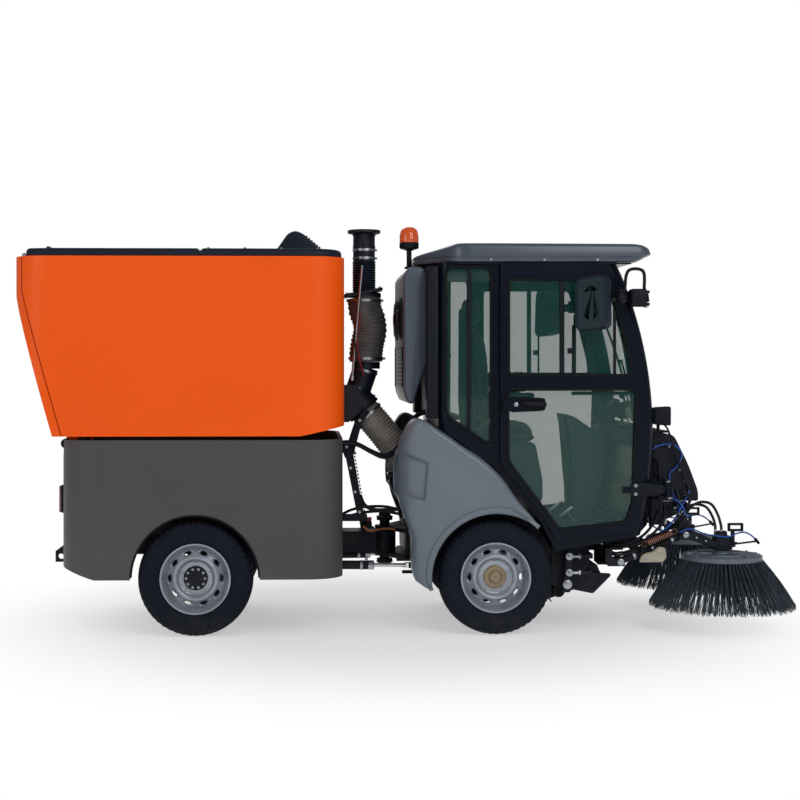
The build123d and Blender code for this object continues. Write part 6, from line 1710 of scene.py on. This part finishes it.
armrests.append(soft_box((0.6, SEAT_Y + 0.23, 1.262), (0.69, SEAT_Y + 0.31, 1.286), 0.01))
for y, x in ((SEAT_Y + 0.25, 0.63), (SEAT_Y + 0.285, 0.66)):
    stalks.append(bar((x, y, 1.284), (x + 0.006, y, 1.348), 0.005, 12))
    stalks.append(lathe(mm([(4, -14), (12, -10), (14, 4), (10, 14), (0, 16)]), (x + 0.007, y, 1.358),
                        (0.1, 0, 1), 24))
piece("seat_armrests", [*armrests, *stalks], TRIM, FRONT)
buckle = soft_box((0.44, SEAT_Y + 0.236, 1.02), (0.482, SEAT_Y + 0.258, 1.11), 0.008)
piece("belt_buckle", buckle, RED_CABLE, FRONT)

# Steering wheel: rim, hub and three spokes in the column's own plane.
WHEEL_AT = np.array((1.125, SEAT_Y, 1.16))
WHEEL_AXIS = np.array((-0.451, 0, 0.892))
angle = TURN * np.arange(64) / 64
rim_path = np.stack([0.1085 * np.cos(angle), 0.1085 * np.sin(angle), 0.004 * np.cos(2 * angle)], axis=-1)
grip = 0.0115
steering_rim = tube(rim_path, grip, 12, loop=True)
spokes = []
for a in (math.pi / 2, math.pi * 7 / 6, math.pi * 11 / 6):
    inner = np.array((0.03 * math.cos(a), 0.03 * math.sin(a), -0.02))
    outer = np.array((0.104 * math.cos(a), 0.104 * math.sin(a), -0.002))
    spokes.append(bar(inner, outer, 0.008, 12))
hub_cap = lathe(mm([(0, -40), (30, -38), (40, -26), (42, -14), (36, -6), (0, -2)]), turns=32)
knob = lathe(mm([(6, 0), (6, 20), (16, 26), (18, 40), (12, 50), (0, 52)]), (-0.046, 0.098, 0.006), UP, 24)
piece("steering_wheel", laid(join(steering_rim, *spokes, hub_cap, knob), WHEEL_AT, WHEEL_AXIS), TRIM, FRONT,
      ("steering_console",))
column = mm([(885, 560.5), (985, 560.5), (1068, 818), (1072, 1040), (1000, 1065), (900, 1135), (835, 1150),
             (872, 1010)])
face_line = rounded(mm([(905, 640), (968, 640), (1040, 830), (1044, 1010), (985, 1035), (905, 1085)]), 0.02)
console = join(plate(rounded(column, [0.012, 0.012, 0.05, 0.03, 0.03, 0.02, 0.02, 0.08]), SEAT_Y - 0.11,
                     SEAT_Y + 0.11, edge=0.014), plate(face_line, SEAT_Y - 0.11, SEAT_Y - 0.116, edge=0.003),
               bar((1.05, SEAT_Y, 1.01), (1.122, SEAT_Y, 1.152), 0.022, 20), soft_box((1.16, -0.52, 0.98),
        (1.206, 0.52, 1.06), 0.012), soft_box((1.136, SEAT_Y + 0.2, 0.94), (1.196, SEAT_Y + 0.46, 1.07),
        0.014), bar((1.08, SEAT_Y - 0.03, 1.07), (1.085, SEAT_Y - 0.15, 1.12), 0.006, 12),
               bar((1.08, SEAT_Y + 0.03, 1.07), (1.085, SEAT_Y + 0.15, 1.12), 0.006, 12),)
piece("dash_console", console, CABIN, FRONT, hard=32)
DISPLAY = ((1.176, SEAT_Y + 0.3, 1.14), (-0.8, 0, 0.6), LEFT)
screen = laid(soft_box((-0.085, -0.055, 0), (0.085, 0.055, 0.026), 0.008), *DISPLAY)
screen_face = laid(soft_box((-0.074, -0.043, 0.0255), (0.074, 0.043, 0.028), 0.001), *DISPLAY)
piece("dash_display", screen, TRIM, FRONT)
piece("display_glass", screen_face, PIPE, FRONT, slot="lamp_black")
rockers = [soft_box((1.132, SEAT_Y + 0.225 + 0.036 * k, 1.02), (1.14, SEAT_Y + 0.25 + 0.036 * k, 1.05),
                    0.003) for k in range(6)]
pedals = [laid(soft_box((-0.03, -0.045, 0), (0.03, 0.045, 0.008), 0.004), (0.85, SEAT_Y + y, 0.624),
               (-0.6, 0, 0.8)) for y in (-0.17, 0.17)]
pedals += [bar((0.854, SEAT_Y + y, 0.62), (0.9, SEAT_Y + y, 0.57), 0.007, 12) for y in (-0.17, 0.17)]
piece("dash_switches", [*rockers, *pedals], ZINC, FRONT)
mat_ribs = [soft_box((0.79, y, FLOOR_Z), (1.15, y + 0.01, FLOOR_Z + 0.009), 0.003) for y in np.arange(-0.5,
        0.5, 0.03)]
mat = join(soft_box((0.775, -0.54, FLOOR_Z - 0.0002), (1.18, 0.54, FLOOR_Z + 0.004), 0.002), *mat_ribs)
piece("floor_mat", mat, CABIN, FRONT, slot="hose_rubber")
grabs = [
    mm([(1170, -545, 1310), (1150, -525, 1312), (900, -522, 1310), (560, -522, 1310), (540, -545, 1310)]),
    mm([(1170, -545, 1262), (1150, -525, 1262), (1000, -522, 1262), (880, -522, 1262), (860, -545, 1262)]),
]
rear_rail = mm([(180, -470, 1460), (215, -455, 1462), (215, 455, 1462), (180, 470, 1460)])
rails = [hose(rear_rail, 0.011, 14), *[hose(line, 0.01, 14) for line in grabs]]
post_a = mm([(1224, -500, 1100), (1200, -490, 1130), (1150, -480, 1500), (1060, -470, 1860),
             (1050, -480, 1900)])
for side in SIDES.values():
    rails.append(hose(mirror_y([(x, -y, z) for x, y, z in post_a], side), 0.013, 14))
piece("cab_rails", rails, TRIM, FRONT)
lining = join(
    soft_box((0.2, -0.52, 1.902), (1.09, 0.52, 1.93), 0.01),
    soft_box((1.02, -0.3, 1.862), (1.08, 0.3, 1.915), 0.014),
    soft_box((0.184, -0.52, 1.122), (0.29, 0.52, 1.142), 0.006),
)
piece("cab_lining", lining, TRIM, FRONT)
blind = lathe(mm([(16, -300), (20, -290), (20, 290), (16, 300)]), (1.092, 0, 1.872), LEFT, 24)
piece("sun_blind", blind, CLOTH, FRONT)

# ------------------------------ cab shell: seals, handles, hinges, wiper
UPPER_PANE = mm([(512, 1860), (512, 1358), (1160, 1356), (1148, 1450), (1110, 1600), (1038, 1860)])
LOWER_PANE = mm([(508, 1285), (508, 910), (780, 550), (1130, 590), (1165, 690), (1185, 1285)])
DOOR_HINGES = ((1.35, 0.76), (1.225, 1.76))  # x and z, on an axis that leans back upwards
REAR_PANE = mm([(185, 1925), (185, 1150), (300, 1070), (425, 985), (425, 1925)])


def gasket(outline, y, corner=0.03, size=0.009):
    """Rubber strip round a pane's edge: a half-round bead that follows the outline, x and z, at one y."""
    line = rounded(outline, corner, steps=6)
    return tube(np.column_stack([line[:, 0], np.full(len(line), y), line[:, 1]]), size, 8, loop=True)


pair("door_seals", [gasket(line, y) for line in (UPPER_PANE, LOWER_PANE) for y in (0.604, 0.583)], RUBBER,
     "door", hard=60)
pair("pane_seal", gasket(REAR_PANE, 0.574, 0.05), RUBBER, FRONT, hard=60)
divider = [
    soft_box((0.78, 0.586, 1.36), (0.806, 0.6, 1.858), 0.004),
    soft_box((0.846, 0.586, 1.366), (0.856, 0.602, 1.62), 0.003),
    soft_box((1.062, 0.588, 1.362), (1.078, 0.6, 1.712), 0.004),
    soft_box((0.82, 0.601, 1.47), (0.85, 0.612, 1.5), 0.004),
]
pair("window_divider", divider, TRIM, "door")
post = mm([(300, 1922), (322, 1922), (318, 1070), (298, 1082)])
pair("corner_post", plate(post, 0.571, 0.577), TRIM, FRONT)
pull = mm([(580, 606, 1212), (584, 636, 1214), (600, 648, 1214), (666, 648, 1208), (690, 640, 1206),
           (696, 606, 1205)])
handle = [plate(rounded(mm([(515, 1164), (705, 1172), (705, 1240), (515, 1244)]), 0.02), 0.604, 0.616,
                edge=0.004), hose(pull, 0.015, 14), lathe(mm([(20, 0), (20, 18), (17, 22), (0, 22)]),
        (0.548, 0.606, 1.206), LEFT, 24),]
pair("door_handle", handle, TRIM, "door")
lock = lathe(mm([(13, 0), (13, 4), (9, 6), (0, 6)]), (0.548, 0.628, 1.206), LEFT, 24)
keyhole = soft_box((0.546, 0.633, 1.199), (0.55, 0.6355, 1.213), 0.0008)
pair("door_lock", [lock, keyhole], ZINC, "door")
straps, strap_bolts = [], []
for (x, z), reach in zip(DOOR_HINGES, (0.205, 0.1)):
    leaf = rounded([(x - reach, z - 0.026), (x - reach + 0.05, z - 0.04), (x - 0.03, z - 0.02),
                    (x - 0.016, z - 0.018), (x - 0.016, z + 0.018), (x - 0.03, z + 0.022),
                    (x - reach + 0.05, z + 0.04), (x - reach, z + 0.026)], 0.018)
    straps.append(plate(leaf, 0.6175, 0.6235, edge=0.002))
    strap_bolts += [(x - reach + 0.03, 0.6235, z + 0.022), (x - reach + 0.03, 0.6235, z - 0.022)]
pair("hinge_straps", straps, TRIM, "door")
pair("hinge_bolts", bolts(strap_bolts, LEFT, 0.0085), ZINC, "door")
caps = []
lean_axis = np.array((-125, 0, 1000)) / math.hypot(125, 1000)
for x, z in DOOR_HINGES:
    for way in (-1, 1):
        caps.append(lathe(mm([(0, 0), (13, 0), (13, 6), (9, 10), (0, 11)]),
                          np.array((x, 0.622, z)) + lean_axis * 0.0395 * way, lean_axis * way, 20))
pair("hinge_caps", caps, ZINC, FRONT)
pair("rain_gutter", soft_box((0.25, 0.576, 1.938), (1.16, 0.588, 1.947), 0.003), TRIM, FRONT)
mount = [
    soft_box((0.092, 0.395, 1.13), (0.152, 0.56, 1.93), 0.008),
    soft_box((0.05, 0.385, 1.56), (0.152, 0.425, 1.62), 0.006),
]
pair("air_mount", mount, CHASSIS, FRONT)
air_back = soft_box((0.129, -0.4, 1.15), (0.1495, 0.4, 1.925), 0.004)
piece("air_backplate", air_back, CHASSIS, FRONT)


def screen_x(z, out=0.0):
    """How far forward the windscreen's curve stands at a height: X - R + sqrt((R + out)^2 - (z - Z)^2)."""
    return 1.279 - 2.152 + math.sqrt((2.152 + out) ** 2 - (z - 1.05) ** 2)


wiper_pivot = (screen_x(1.11, 0.022), 0.02, 1.11)
arm_line = [(screen_x(z, 0.028), 0.02 + (z - 1.11) * 0.6, z) for z in np.linspace(1.11, 1.43, 9)]
blade_line = [(screen_x(z, 0.01), 0.02 + (z - 1.11) * 0.6, z) for z in np.linspace(1.16, 1.76, 14)]
wiper = join(
    tube(np.array(arm_line), 0.006, 10),
    tube(np.array(blade_line), 0.0065, 8),
    lathe(mm([(18, -12), (20, 0), (16, 14), (0, 16)]), wiper_pivot, AHEAD, 24),
    soft_box((screen_x(1.43, 0.01), 0.2, 1.418), (screen_x(1.43, 0.034), 0.225, 1.442), 0.004),
)
piece("windscreen_wiper", wiper, TRIM, FRONT)
z_line = np.linspace(1.085, 1.895, 24)
seal_path = [(screen_x(z, 0.004), -0.5, z) for z in z_line] + [(screen_x(z, 0.004), 0.5, z)
    for z in z_line[::-1]]
piece("windscreen_seal", tube(np.array(seal_path), 0.01, 8, loop=True), RUBBER, FRONT, hard=60)
